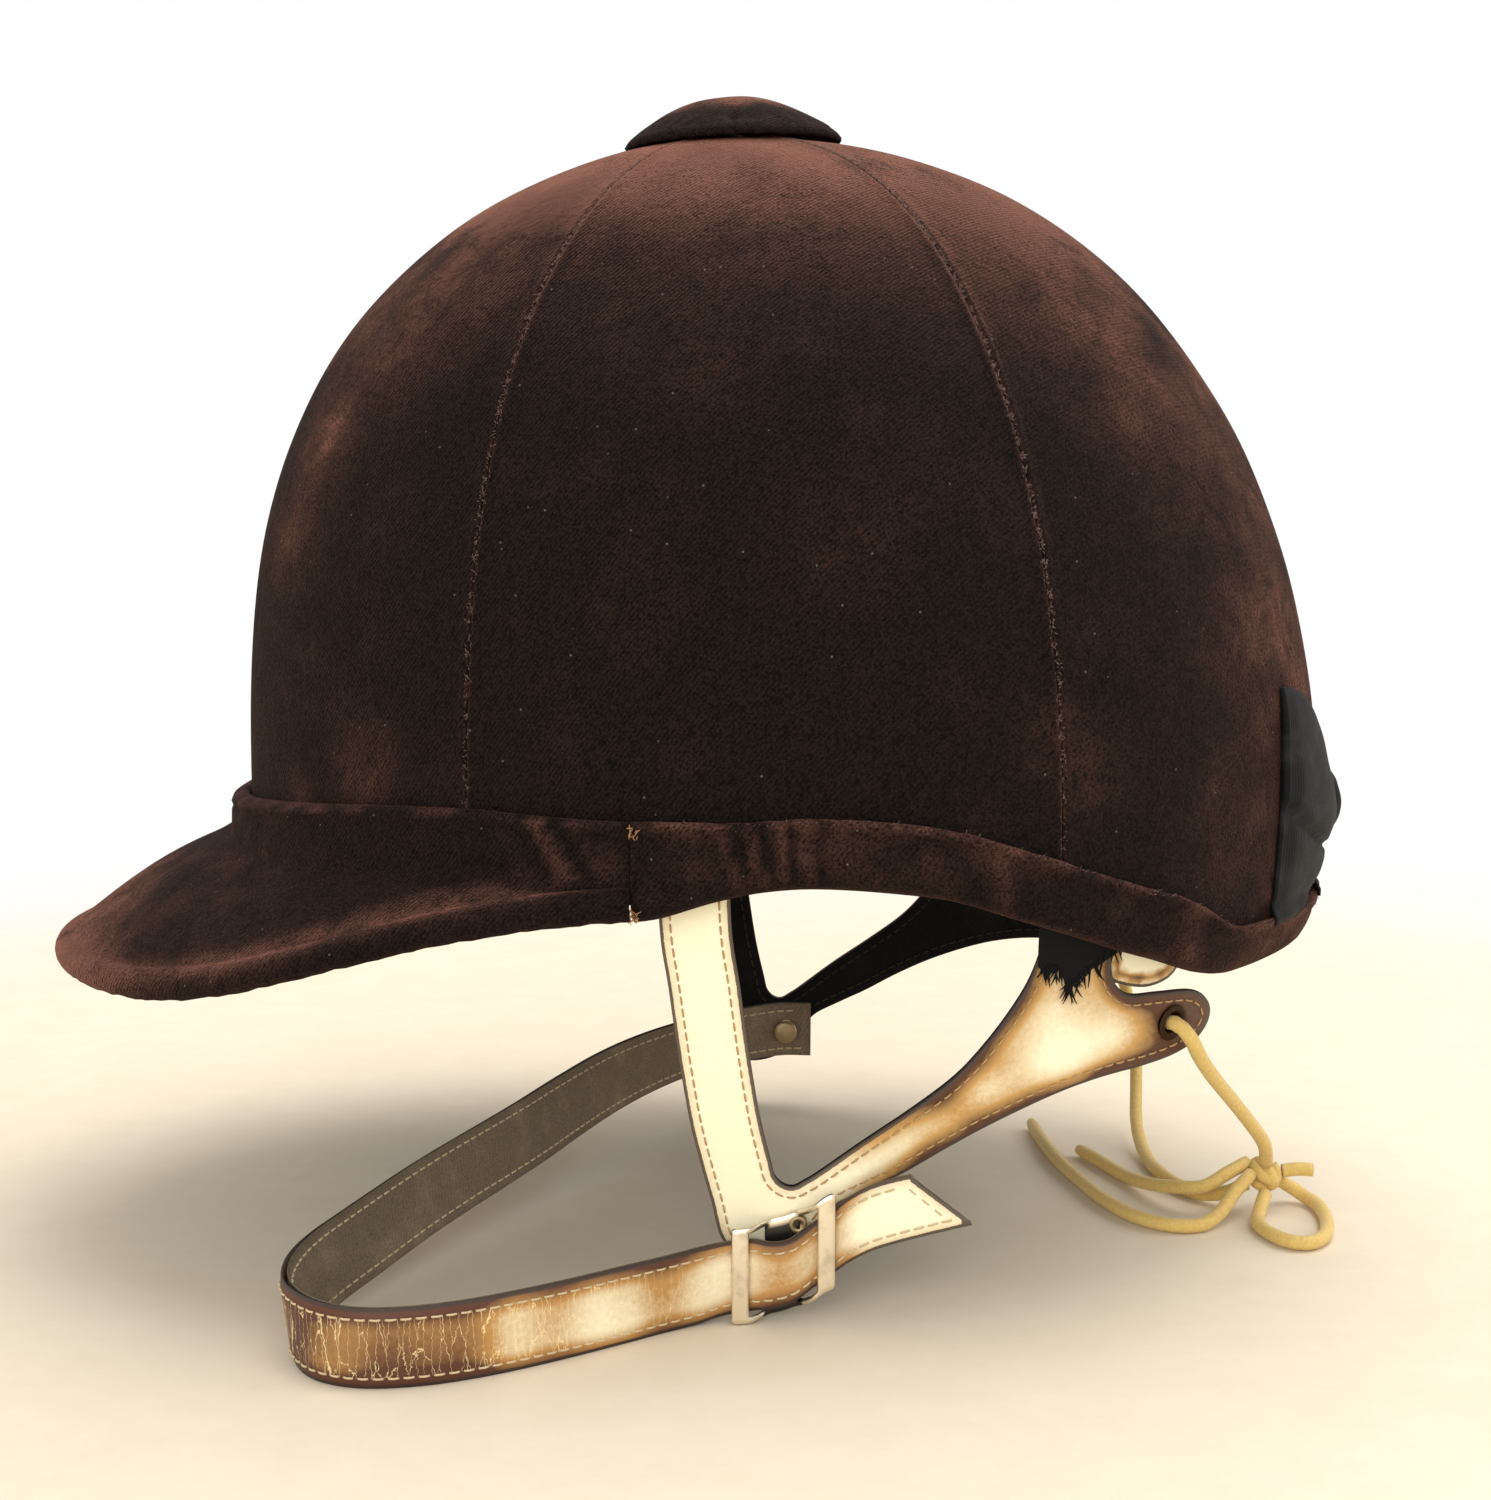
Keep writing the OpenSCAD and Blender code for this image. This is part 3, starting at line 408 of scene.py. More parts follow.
def newGroup(name, numbers, outputs):
    # A node group that takes a vector and numbers, and puts out numbers
    tree = bpy.data.node_groups.new(name, "ShaderNodeTree")
    tree.interface.new_socket("Vector", in_out="INPUT", socket_type="NodeSocketVector")
    for label, value in numbers.items():
        socket = tree.interface.new_socket(label, in_out="INPUT", socket_type="NodeSocketFloat")
        socket.default_value = value
    for label in outputs:
        tree.interface.new_socket(label, in_out="OUTPUT", socket_type="NodeSocketFloat")
    start = tree.nodes.new("NodeGroupInput")
    end = tree.nodes.new("NodeGroupOutput")
    start.location = (-1800, 0)
    end.location = (300, 0)
    return tree, start.outputs, end.inputs


def useGroup(tree, group, **values):
    node = addNode(tree, "Group")
    node.node_tree = group
    for key, value in values.items():
        feed(tree, value, node.inputs[key])
    return node.outputs


def calc(tree, operation, *values, clamp=False):
    return addNode(tree, "Math", dict(enumerate(values)), operation=operation, use_clamp=clamp).outputs[0]


def vectorCalc(tree, operation, *values):
    return addNode(tree, "VectorMath", dict(enumerate(values)), operation=operation).outputs


def noiseNode(tree, vector, scale, detail, roughness=0.5, distortion=0.0):
    return addNode(tree, "TexNoise", {"Vector": vector, "Scale": scale, "Detail": detail,
                                      "Roughness": roughness, "Distortion": distortion}).outputs


def ramp(tree, factor, stops):
    node = addNode(tree, "ValToRGB", {"Fac": factor})
    elements = node.color_ramp.elements
    for element, (position, colour) in zip(elements, (stops[0], stops[-1])):
        element.position = position
        element.color = colour
    for position, colour in stops[1:-1]:
        elements.new(position).color = colour
    return node.outputs["Color"]


def mixColour(tree, factor, a, b):
    return addNode(tree, "Mix", {0: factor, 6: a, 7: b}, data_type="RGBA").outputs[2]


def newMaterial(name, **values):
    # A Principled material; values are set on the shader's own sockets
    material = bpy.data.materials.new(name)
    material.use_nodes = True
    tree = material.node_tree
    shader = tree.nodes["Principled BSDF"]
    shader.location = (300, 600)
    tree.nodes["Material Output"].location = (700, 600)
    for key, value in values.items():
        shader.inputs[key.replace("_", " ")].default_value = value
    return material, tree, shader.inputs


def finish(tree, sockets, colour, height, strength, distance):
    # The colour and the bump of a material
    feed(tree, colour, sockets["Base Color"])
    bump = addNode(tree, "Bump", {"Height": height, "Strength": strength, "Distance": distance})
    feed(tree, bump.outputs["Normal"], sockets["Normal"])


def flowInput(tree):
    return addNode(tree, "Attribute", attribute_name="flow").outputs["Vector"]


def maskInput(tree, name):
    return addNode(tree, "Attribute", attribute_name=name).outputs["Fac"]


def objectInput(tree):
    return addNode(tree, "TexCoord").outputs["Object"]


# Node groups shared by the materials
napLook = {
    # noises of the pile: details per mm, detail, roughness, distortion
    "pile": (1.7, 4.0, 0.85, 0.0), "tufts": (0.45, 3.0, 0.6, 0.6), "crush": (0.07, 5.0, 0.68, 1.4),
    # weave under the pile: slant of its lines, and the side where they fade
    "slant": (5.4, -3.2, -4.6), "fadeSide": (0.69, -0.41, -0.59), "bend": 3.0,
    "weaveHeight": 0.12, "weaveTone": 0.17, "tuftHeight": 0.9, "tuftTone": 0.7, "pileTone": 4.8,
}


def makeNapGroup():
    # Fine pile, small tufts and crushed patches, from a vector in millimetres
    tree, start, end = newGroup("pileNap", {}, ("Height", "Tone", "Crush"))
    look = napLook
    place = start["Vector"]
    pile, tufts, crush = (noiseNode(tree, place, *look[name])["Fac"] for name in ("pile", "tufts", "crush"))
    slant = vectorCalc(tree, "DOT_PRODUCT", place, look["slant"])["Value"]
    lines = calc(tree, "SINE", calc(tree, "MULTIPLY_ADD", tufts, look["bend"], slant))
    # the lines fade where the cloth turns square to their slant
    normal = addNode(tree, "TexCoord").outputs["Normal"]
    facing = calc(tree, "ABSOLUTE", vectorCalc(tree, "DOT_PRODUCT", normal, look["fadeSide"])["Value"])
    square = calc(tree, "POWER", facing, 2.0)
    fade = calc(tree, "MULTIPLY_ADD", square, -1.9, 1.1, clamp=True)
    weave = calc(tree, "MULTIPLY", lines, fade)
    low = calc(tree, "MULTIPLY_ADD", tufts, look["tuftHeight"], pile)
    feed(tree, calc(tree, "MULTIPLY_ADD", weave, look["weaveHeight"], low), end["Height"])
    sharp = calc(tree, "MULTIPLY_ADD", pile, look["pileTone"],
                 calc(tree, "MULTIPLY_ADD", weave, look["weaveTone"], -2.1))
    feed(tree, calc(tree, "MULTIPLY_ADD", tufts, look["tuftTone"], sharp, clamp=True), end["Tone"])
    feed(tree, calc(tree, "MULTIPLY", calc(tree, "SUBTRACT", crush, 0.32), 2.6, clamp=True), end["Crush"])
    return tree


def makeWearGroup():
    # Soft worn patches and fine specks, from 0 to 1
    tree, start, end = newGroup("wornPatches", {"Scale": 20.0, "Amount": 0.5}, ("Mask", "Fine"))
    cloud = noiseNode(tree, start["Vector"], start["Scale"], 5.0, 0.6)["Fac"]
    raised = calc(tree, "SUBTRACT", cloud, calc(tree, "SUBTRACT", 1.0, start["Amount"]))
    feed(tree, calc(tree, "MULTIPLY", raised, 4.0, clamp=True), end["Mask"])
    fineScale = calc(tree, "MULTIPLY", start["Scale"], 9.0)
    feed(tree, noiseNode(tree, start["Vector"], fineScale, 8.0, 0.7)["Fac"], end["Fine"])
    return tree


def makeGrainGroup():
    # Pebbled leather grain with pores
    tree, start, end = newGroup("leatherGrain", {"Scale": 1.0}, ("Height",))
    place = start["Vector"]
    bent = vectorCalc(tree, "ADD", place, noiseNode(tree, place, 0.7, 2.0)["Color"])[0]
    cells = addNode(tree, "TexVoronoi", {"Vector": bent, "Scale": start["Scale"]}, feature="DISTANCE_TO_EDGE")
    pebbles = calc(tree, "POWER", calc(tree, "MULTIPLY", cells.outputs["Distance"], 2.0, clamp=True), 0.5)
    pores = calc(tree, "GREATER_THAN", noiseNode(tree, place, 5.0, 4.0)["Fac"], 0.66)
    feed(tree, calc(tree, "MULTIPLY_ADD", pores, -0.4, pebbles), end["Height"])
    return tree


pileNap = makeNapGroup()
wornPatches = makeWearGroup()
leatherGrain = makeGrainGroup()
print("node groups built")


# Velvet: almost black brown from the front, red-brown where it catches the light, helped by painted sheen and painted
# highlights in its masks
velvetLook = {
    # the worn colour is rubbed pile, and also the colour of painted highlights
    "deep": (0.0022, 0.0017, 0.0015, 1), "lit": (0.0165, 0.0096, 0.0078, 1), "worn": (0.17, 0.075, 0.055, 1),
    "lint": (0.3, 0.27, 0.25, 1), "lintSize": 0.045, "lintStrength": 0.35, "patchWear": 0.09,
    "roughness": 0.95, "sheen": 0.95, "sheenRoughness": 0.3, "sheenTint": (0.56, 0.245, 0.175, 1),
}


def makeVelvet(name, wornAmount, sheen=velvetLook["sheen"]):
    look = velvetLook
    material, tree, sockets = newMaterial(
        name, Roughness=look["roughness"], Specular_IOR_Level=0.1, Sheen_Roughness=look["sheenRoughness"],
        Sheen_Tint=look["sheenTint"])
    millimetres = addNode(tree, "VectorMath", {0: objectInput(tree), "Scale": 1000.0}, operation="SCALE")
    place = millimetres.outputs[0]
    nap = useGroup(tree, pileNap, Vector=place)
    worn = useGroup(tree, wornPatches, Vector=place, Scale=0.05, Amount=wornAmount)
    # the worn colour comes from worn patches and from the rub mask, which holds real wear and painted highlights
    wearAndHighlightAmount = calc(tree, "MULTIPLY_ADD", worn["Mask"], look["patchWear"], maskInput(tree, "rub"))
    colour = mixColour(tree, calc(tree, "MULTIPLY", wearAndHighlightAmount, nap["Tone"], clamp=True),
                       ramp(tree, nap["Tone"], [(0.3, look["deep"]), (1.0, look["lit"])]), look["worn"])
    specks = addNode(tree, "TexVoronoi", {"Vector": place, "Scale": 0.2})
    speck = calc(tree, "LESS_THAN", specks.outputs["Distance"], look["lintSize"])
    colour = mixColour(tree, calc(tree, "MULTIPLY", speck, look["lintStrength"]), colour, look["lint"])
    # sheen weight: crushed patches of pile times the nap mask, a painted sheen that is strongest on the top and at the
    # back
    catch = calc(tree, "MULTIPLY", calc(tree, "ADD", nap["Crush"], 0.3), maskInput(tree, "nap"))
    grain = calc(tree, "MULTIPLY_ADD", nap["Tone"], sheen * 1.3, sheen * 0.2)
    feed(tree, calc(tree, "MULTIPLY", catch, grain, clamp=True), sockets["Sheen Weight"])
    finish(tree, sockets, colour, nap["Height"], 0.6, 0.0006)
    return material


velvet = makeVelvet("velvetBrown", 0.47)
velvetBand = makeVelvet("velvetBand", 0.5)
velvetUnder = makeVelvet("velvetUnderPeak", 0.36, 0.4)
print("velvet ready")


# Black ribbed ribbon
def makeRibbon():
    material, tree, sockets = newMaterial(
        "ribbonBlack", Roughness=0.7, Sheen_Weight=0.02, Sheen_Roughness=0.4,
        Sheen_Tint=(0.6, 0.65, 0.75, 1), Specular_IOR_Level=0.15)
    flow = flowInput(tree)
    along, across, _ = addNode(tree, "SeparateXYZ", {0: flow}).outputs
    ribs = calc(tree, "SINE", calc(tree, "MULTIPLY", along, 7.0))
    weave = calc(tree, "SINE", calc(tree, "MULTIPLY", across, 12.0))
    dust = useGroup(tree, wornPatches, Vector=flow, Scale=0.12, Amount=0.5)
    colour = mixColour(tree, calc(tree, "MULTIPLY", dust["Fine"], dust["Mask"]),
                       (0.0035, 0.004, 0.0055, 1), (0.04, 0.04, 0.043, 1))
    finish(tree, sockets, colour, calc(tree, "MULTIPLY_ADD", weave, 0.25, ribs), 0.16, 0.0002)
    return material


ribbon = makeRibbon()


# Harness leather: cream, burnt tan to brown at the edges and towards the flap
def makeHarnessLeather(name, cream, tan, brown, cracks):
    material, tree, sockets = newMaterial(name, Specular_IOR_Level=0.35)
    flow = flowInput(tree)
    edge = maskInput(tree, "edge")
    grain = useGroup(tree, leatherGrain, Vector=flow, Scale=1.6)
    fine = useGroup(tree, wornPatches, Vector=flow, Scale=0.09, Amount=0.55)["Fine"]
    depth = calc(tree, "DIVIDE", calc(tree, "MULTIPLY_ADD", fine, 2.2, edge), 5.6)
    near = calc(tree, "SUBTRACT", 1.0, depth, clamp=True)
    shade = calc(tree, "MULTIPLY_ADD", near, 0.46, maskInput(tree, "burn"))
    shade = calc(tree, "ADD", shade, calc(tree, "MULTIPLY_ADD", fine, 0.34, -0.17), clamp=True)
    middle = tuple(a * 0.55 + b * 0.45 for a, b in zip(cream, tan))
    colour = ramp(tree, shade, [(0.0, cream), (0.14, cream), (0.34, middle), (0.56, tan), (0.98, brown)])
    if cracks:
        stretched = vectorCalc(tree, "MULTIPLY", flow, (1.0, 0.16, 1.0))[0]
        bend = noiseNode(tree, flow, 0.8, 5.0)["Color"]
        bent = vectorCalc(tree, "MULTIPLY_ADD", bend, (1.4, 0.8, 0.0), stretched)[0]
        lines = addNode(tree, "TexVoronoi", {"Vector": bent, "Scale": 0.6}, feature="DISTANCE_TO_EDGE")
        thin = calc(tree, "LESS_THAN", lines.outputs["Distance"], 0.014)
        crack = calc(tree, "MULTIPLY", calc(tree, "MULTIPLY", thin, calc(tree, "GREATER_THAN", edge, 2.0)),
                     maskInput(tree, "crack"))
        colour = mixColour(tree, calc(tree, "MULTIPLY", crack, 0.7), colour, (0.95, 0.78, 0.42, 1))
    rim = calc(tree, "LESS_THAN", calc(tree, "MULTIPLY_ADD", fine, 0.5, edge), 0.95)
    colour = mixColour(tree, calc(tree, "MULTIPLY", rim, 0.9), colour, (0.05, 0.035, 0.028, 1))
    feed(tree, calc(tree, "MULTIPLY_ADD", fine, 0.3, 0.34), sockets["Roughness"])
    finish(tree, sockets, colour, grain["Height"], 0.25, 0.0002)
    return material


harnessLeather = makeHarnessLeather("harnessCream", (0.98, 0.93, 0.69, 1), (0.56, 0.33, 0.11, 1),
                                    (0.09, 0.035, 0.016, 1), False)
strapLeather = makeHarnessLeather("strapTan", (0.98, 0.93, 0.68, 1), (0.5, 0.27, 0.085, 1),
                                  (0.1, 0.035, 0.018, 1), True)


def makeSuede(name, dark, light):
    material, tree, sockets = newMaterial(name, Roughness=0.85, Sheen_Weight=0.08, Sheen_Roughness=0.5,
                                          Specular_IOR_Level=0.1)
    flow = flowInput(tree)
    nap = useGroup(tree, pileNap, Vector=flow)
    worn = useGroup(tree, wornPatches, Vector=flow, Scale=0.1, Amount=0.5)
    tone = calc(tree, "ADD", calc(tree, "MULTIPLY", worn["Mask"], 0.4),
                calc(tree, "MULTIPLY", nap["Tone"], 0.5), clamp=True)
    finish(tree, sockets, mixColour(tree, tone, dark, light), nap["Height"], 0.4, 0.0003)
    return material


suedeBlack = makeSuede("suedeBlack", (0.004, 0.004, 0.005, 1), (0.022, 0.02, 0.019, 1))
suedeGrey = makeSuede("suedeGreyBrown", (0.13, 0.1, 0.07, 1), (0.36, 0.28, 0.19, 1))


def makePlain(name, dark, light, roughness, scale, **more):
    # Mottled finish for threads, cord and small fittings; scale is in details per metre
    material, tree, sockets = newMaterial(name, Roughness=roughness, **more)
    fine = useGroup(tree, wornPatches, Vector=objectInput(tree), Scale=scale, Amount=0.55)["Fine"]
    finish(tree, sockets, mixColour(tree, fine, dark, light), fine, 0.25, 0.0001)
    return material


threadCream = makePlain("threadCream", (0.42, 0.31, 0.17, 1), (0.8, 0.66, 0.42, 1), 0.7, 400)
threadTan = makePlain("threadTan", (0.3, 0.17, 0.06, 1), (0.62, 0.42, 0.19, 1), 0.7, 400)
threadBlack = makePlain("threadBlack", (0.01, 0.009, 0.008, 1), (0.03, 0.026, 0.022, 1), 0.7, 400)
threadRust = makePlain("threadRust", (0.3, 0.13, 0.05, 1), (0.62, 0.36, 0.17, 1), 0.8, 400)
fuzz = makePlain("fuzzPale", (0.11, 0.065, 0.055, 1), (0.34, 0.225, 0.19, 1), 0.9, 500)
tapeCloth = makePlain("tapeBlack", (0.003, 0.003, 0.0035, 1), (0.012, 0.012, 0.013, 1), 0.8, 500,
                      Specular_IOR_Level=0.1)
shellResin = makePlain("shellResin", (0.05, 0.04, 0.03, 1), (0.1, 0.085, 0.065, 1), 0.55, 60)
boardFibre = makePlain("boardFibre", (0.12, 0.08, 0.05, 1), (0.22, 0.16, 0.1, 1), 0.8, 120)
cordCotton = makePlain("cordCotton", (0.45, 0.4, 0.32, 1), (0.7, 0.65, 0.55, 1), 0.9, 300)
foamBoard = makePlain("foamBoard", (0.55, 0.52, 0.45, 1), (0.75, 0.72, 0.66, 1), 0.85, 200)
liningCloth = makePlain("liningBlack", (0.008, 0.008, 0.009, 1), (0.03, 0.03, 0.033, 1), 0.75, 300)
sweatLeather = makePlain("sweatbandBrown", (0.1, 0.045, 0.02, 1), (0.24, 0.12, 0.06, 1), 0.5, 60)


def makeNickel(name, colour, roughness, slots=False):
    # Fine scratches along the metal, duller patches, and painted shade, dark where the piece has a mask for it
    material, tree, sockets = newMaterial(name, Metallic=1.0)
    place = objectInput(tree)
    fine = noiseNode(tree, vectorCalc(tree, "MULTIPLY", place, (1.0, 1.0, 0.08))[0], 2600.0, 3.0)["Fac"]
    worn = useGroup(tree, wornPatches, Vector=place, Scale=180.0, Amount=0.5)
    feed(tree, calc(tree, "MULTIPLY_ADD", fine, 0.25, roughness), sockets["Roughness"])
    dull = tuple(c * 0.62 for c in colour[:3]) + (1,)
    tone = mixColour(tree, worn["Mask"], colour, dull)
    # painted shade: the masked middle of the plate turns dark
    if slots:
        tone = mixColour(tree, maskInput(tree, "dark"), tone, (0.06, 0.055, 0.05, 1))
    finish(tree, sockets, tone, fine, 0.08, 0.0001)
    return material


nickelSatin = makeNickel("nickelSatin", (0.74, 0.7, 0.63, 1), 0.22)
nickelSlide = makeNickel("nickelSlide", (0.84, 0.75, 0.58, 1), 0.2, True)
rivetBrass = makeNickel("rivetBrass", (0.4, 0.3, 0.17, 1), 0.35)
eyeletMetal = makeNickel("eyeletDark", (0.06, 0.034, 0.018, 1), 0.55)


def makeLaceMaterial():
    material, tree, sockets = newMaterial("laceTan", Roughness=0.62, Sheen_Weight=0.15, Sheen_Roughness=0.5,
                                          Specular_IOR_Level=0.3)
    flow = flowInput(tree)
    along, around, _ = addNode(tree, "SeparateXYZ", {0: flow}).outputs
    strands = calc(tree, "SINE", calc(tree, "MULTIPLY_ADD", along, 2.4, around))
    fine = useGroup(tree, wornPatches, Vector=flow, Scale=0.2, Amount=0.55)["Fine"]
    colour = mixColour(tree, calc(tree, "MULTIPLY_ADD", strands, 0.025, fine),
                       (0.4, 0.24, 0.055, 1), (0.94, 0.71, 0.24, 1))
    finish(tree, sockets, colour, calc(tree, "MULTIPLY_ADD", strands, 0.12, fine), 0.4, 0.0002)
    return material


laceMaterial = makeLaceMaterial()
print("materials ready")


# Nape lace: the routes of the part's source, in metres
laceSettings = {
    "diameter": 0.0032, "sides": 12, "points": 34,
    "crossing": [(0.0802, -0.0622, -0.0357), (0.0777, -0.0591, -0.0357), (0.077, -0.0562, -0.0372),
                 (0.078, -0.0515, -0.0403), (0.08, -0.044, -0.0442), (0.0816, -0.033, -0.0485),
                 (0.083, -0.02, -0.052), (0.0836, 0, -0.0538), (0.083, 0.02, -0.052),
                 (0.0816, 0.033, -0.0485), (0.08, 0.044, -0.0442), (0.078, 0.0515, -0.0403),
                 (0.077, 0.0562, -0.0372), (0.0777, 0.0591, -0.0357), (0.0802, 0.0622, -0.0357)],
    "left": [(0.0802, -0.0622, -0.0357), (0.0822, -0.06468, -0.0357), (0.0848, -0.0652, -0.0387),
             (0.0874, -0.0616, -0.0434), (0.0916, -0.0546, -0.0495), (0.0978, -0.045, -0.0573),
             (0.1043, -0.035, -0.0656), (0.1093, -0.0265, -0.0728), (0.1114, -0.0195, -0.0792)],
    "right": [(0.0802, 0.0622, -0.0357), (0.0822, 0.06468, -0.0357), (0.0854, 0.0664, -0.0398),
              (0.089, 0.065, -0.049), (0.0915, 0.062, -0.0575), (0.093, 0.0585, -0.066),
              (0.093, 0.0535, -0.074), (0.092, 0.0465, -0.081), (0.0908, 0.038, -0.086),
              (0.0906, 0.029, -0.0892), (0.0908, 0.019, -0.0902), (0.0916, 0.01, -0.0902),
              (0.0942, -0.0005, -0.0902), (0.0985, -0.0085, -0.0902), (0.104, -0.012, -0.0886),
              (0.1082, -0.0134, -0.086)],
    "loop": [(0.1154, -0.0122, -0.0852), (0.1195, -0.009, -0.0882), (0.1225, -0.0105, -0.09),
             (0.1242, -0.016, -0.0902), (0.1242, -0.023, -0.0902), (0.123, -0.031, -0.0902),
             (0.1204, -0.039, -0.0902), (0.1164, -0.0435, -0.0902), (0.112, -0.0426, -0.0902),
             (0.109, -0.0375, -0.0902), (0.1076, -0.0305, -0.0902), (0.109, -0.024, -0.0899),
             (0.1116, -0.0186, -0.0868)],
    "endLong": [(0.1087, -0.0164, -0.0828), (0.1044, -0.0206, -0.0854), (0.1, -0.0266, -0.0884),
                (0.095, -0.031, -0.0902), (0.088, -0.0315, -0.0902), (0.082, -0.027, -0.0902),
                (0.0776, -0.0195, -0.0902), (0.074, -0.0085, -0.0902), (0.0714, 0.003, -0.0902),
                (0.069, 0.015, -0.0902), (0.0674, 0.027, -0.0902), (0.0664, 0.039, -0.0902),
                (0.0658, 0.052, -0.0902)],
    "endShort": [(0.1084, -0.0128, -0.0812), (0.1035, -0.016, -0.0826), (0.0976, -0.0178, -0.0854),
                 (0.0926, -0.0145, -0.0866), (0.0872, -0.005, -0.0888), (0.083, 0.006, -0.0902),
                 (0.079, 0.017, -0.0902), (0.075, 0.028, -0.0902)],
    "stub": [(0.1164, -0.014, -0.0828), (0.12, -0.014, -0.0824), (0.1234, -0.014, -0.0826)],
    # piece, route, node and far end of each cord
    "cords": [("laceCrossing", "crossing", "lace_crossing", "object"),
              ("laceLeft", "left", "lace_left", "knot"), ("laceRight", "right", "lace_right", "knot"),
              ("laceLoop", "loop", "lace_loop", "knot"),
              ("laceEndLong", "endLong", "lace_end_long", "bare"),
              ("laceEndShort", "endShort", "lace_end_short", "bare")],
    "knot": (0.112, -0.0145, -0.0834), "fullTurn": 6.28,
    # wraps of the knot: axis, width and height in mm
    "wraps": [((1, 0.2, 0.35), 2.9, 2.4), ((0.15, 1, -0.3), 2.6, 2.9), ((0.5, -0.35, 1), 2.4, 2.6)],
}


def makeLace(name, route, node, cutEnd=False):
    s = laceSettings
    line = evenLine(curveThrough(route, 8), s["points"]) / metre
    radii = np.full(len(line), s["diameter"] / 2 / metre)
    if cutEnd:
        radii[-1] *= 0.8
    points, faces = tubeMesh(line, radii, s["sides"])
    lengths = lengthsAlong(line)
    flow = [(along, s["fullTurn"] * k / s["sides"], 0) for along in lengths for k in range(s["sides"])]
    piece = makePiece(name, points, faces, laceMaterial, flow, replaces=[node], slot="lace")
    return piece, [tuple(p * metre) for p in line], lengths[-1] * metre


def makeKnot():
    # Crossed wraps of lace
    s = laceSettings
    sides, steps = 10, 28
    parts, flow = [], []
    for axis, wide, tall in s["wraps"]:
        axis = Vector(axis).normalized()
        side = axis.orthogonal().normalized()
        other = axis.cross(side)
        ring = []
        for k in range(steps + 1):
            a = 2 * math.pi * k / steps * 0.97
            ring.append(np.array(side) * wide * math.cos(a) + np.array(other) * tall * math.sin(a)
                        + np.array(axis) * 0.7 * math.sin(a * 0.5) + np.array(s["knot"]) / metre)
            flow += [(k * 0.8, s["fullTurn"] * i / sides, 0) for i in range(sides)]
        parts.append(tubeMesh(ring, s["diameter"] / 2 / metre * 0.92, sides))
    points, faces = joined(parts)
    return makePiece("laceKnot", points, faces, laceMaterial, flow, replaces=["lace_knot"], slot="lace")


laceKnot = makeKnot()
laceStub, _, _ = makeLace("laceStub", laceSettings["stub"], "lace_stub")
for name, route, node, ending in laceSettings["cords"]:
    piece, path, length = makeLace(name, laceSettings[route], node, ending == "bare")
    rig.cord(piece, exit=path[0], length=length, diameter=laceSettings["diameter"], far_end=ending,
            stiffness="limp", lay="hanging" if route == "crossing" else "loose", path=path,
            with_pieces=[laceKnot, laceStub] if route == "left" else [])
print("lace laid")


# Crown surface, as in the part's source
crown = {
    "halfLength": 122.5, "halfWidth": 103.0, "height": 153.5, "apexShift": -6.5, "poleShift": -5.0,
    "lift": 1.8, "skirt": 13.0, "draw": 0.03, "velvet": 1.2, "shell": 3.0,
    "rearSeam": 60.0, "frontSeam": 126.0, "holeRadius": 3.4,
    "rimLine": [(0, -25), (34, -25), (47, -18.5), (63, -8.5), (75, -2), (88, 0), (98, -2), (106, -5),
                (122, -8), (180, -9)],
    "bandLine": [(0, 9.5), (34, 10.5), (46, 14), (92, 14), (106, 18), (125, 22), (180, 16)],
}
shellIn = crown["velvet"] + 0.2 + crown["shell"]
hemOut = shellIn + 0.2
strapOut = hemOut + 1 + 0.5 + 0.3


def fold(phi):
    t = abs(phi) % 360
    return 360 - t if t > 180 else t


@functools.lru_cache(None)
def rimHeight(phi):
    return smoothLookup(fold(phi), crown["rimLine"])


@functools.lru_cache(None)
def bandTop(phi):
    return rimHeight(phi) + smoothLookup(fold(phi), crown["bandLine"])


@functools.lru_cache(None)
def rho(phi, inset):
    c, s = math.cos(math.radians(phi)), math.sin(math.radians(phi))
    return 1 / math.hypot(c / (crown["halfLength"] - inset), s / (crown["halfWidth"] - inset))


def sideBlend(phi, front, rear):
    c = math.cos(math.radians(phi))
    middle = (front + rear) / 2
    return middle + ((front if c < 0 else rear) - middle) * c * c


@functools.lru_cache(None)
def fullness(phi):
    return sideBlend(phi, 2.9, 2.15)


@functools.lru_cache(None)
def rounding(phi):
    return sideBlend(phi, 0.53, 0.445)


def narrowing(phi, z, inset):
    drawn = (crown["draw"] * ease(2 * math.cos(math.radians(phi)) - 0.9)
             * max(0, 1 - (z - rimHeight(phi) - crown["lift"]) / crown["skirt"]))
    if z <= 0:
        return 1 - drawn
    share = min(1, z / (crown["height"] - inset))
    return (1 - drawn) * max(0, 1 - share ** fullness(phi)) ** rounding(phi)


def wallPoint(phi, z, inset):
    r = rho(phi, inset) * narrowing(phi, z, inset)
    up = max(0, z)
    lean = (crown["apexShift"] * (up / crown["height"]) ** 2
            + crown["poleShift"] * (up / (crown["height"] - inset)) ** 24)
    return np.array((r * math.cos(math.radians(phi)) + lean, r * math.sin(math.radians(phi)), z))


def rowHeight(phi, share, inset, low, hole):
    limit = math.acos((hole / rho(phi, inset)) ** (0.5 / rounding(phi)))
    return ((crown["height"] - inset) * math.sin(limit * share) ** (2 / fullness(phi))
            + low * (1 - share) ** 2)


def wallNormal(phi, z):
    a = wallPoint(phi + 0.5, z, 0) - wallPoint(phi - 0.5, z, 0)
    b = wallPoint(phi, z + 0.5, 0) - wallPoint(phi, z - 0.5, 0)
    n = np.cross(a, b)
    return n / np.linalg.norm(n)


def lumps(p, size, seed=0.0):
    return noise.noise(Vector((p[0] / size + seed, p[1] / size, p[2] / size)))


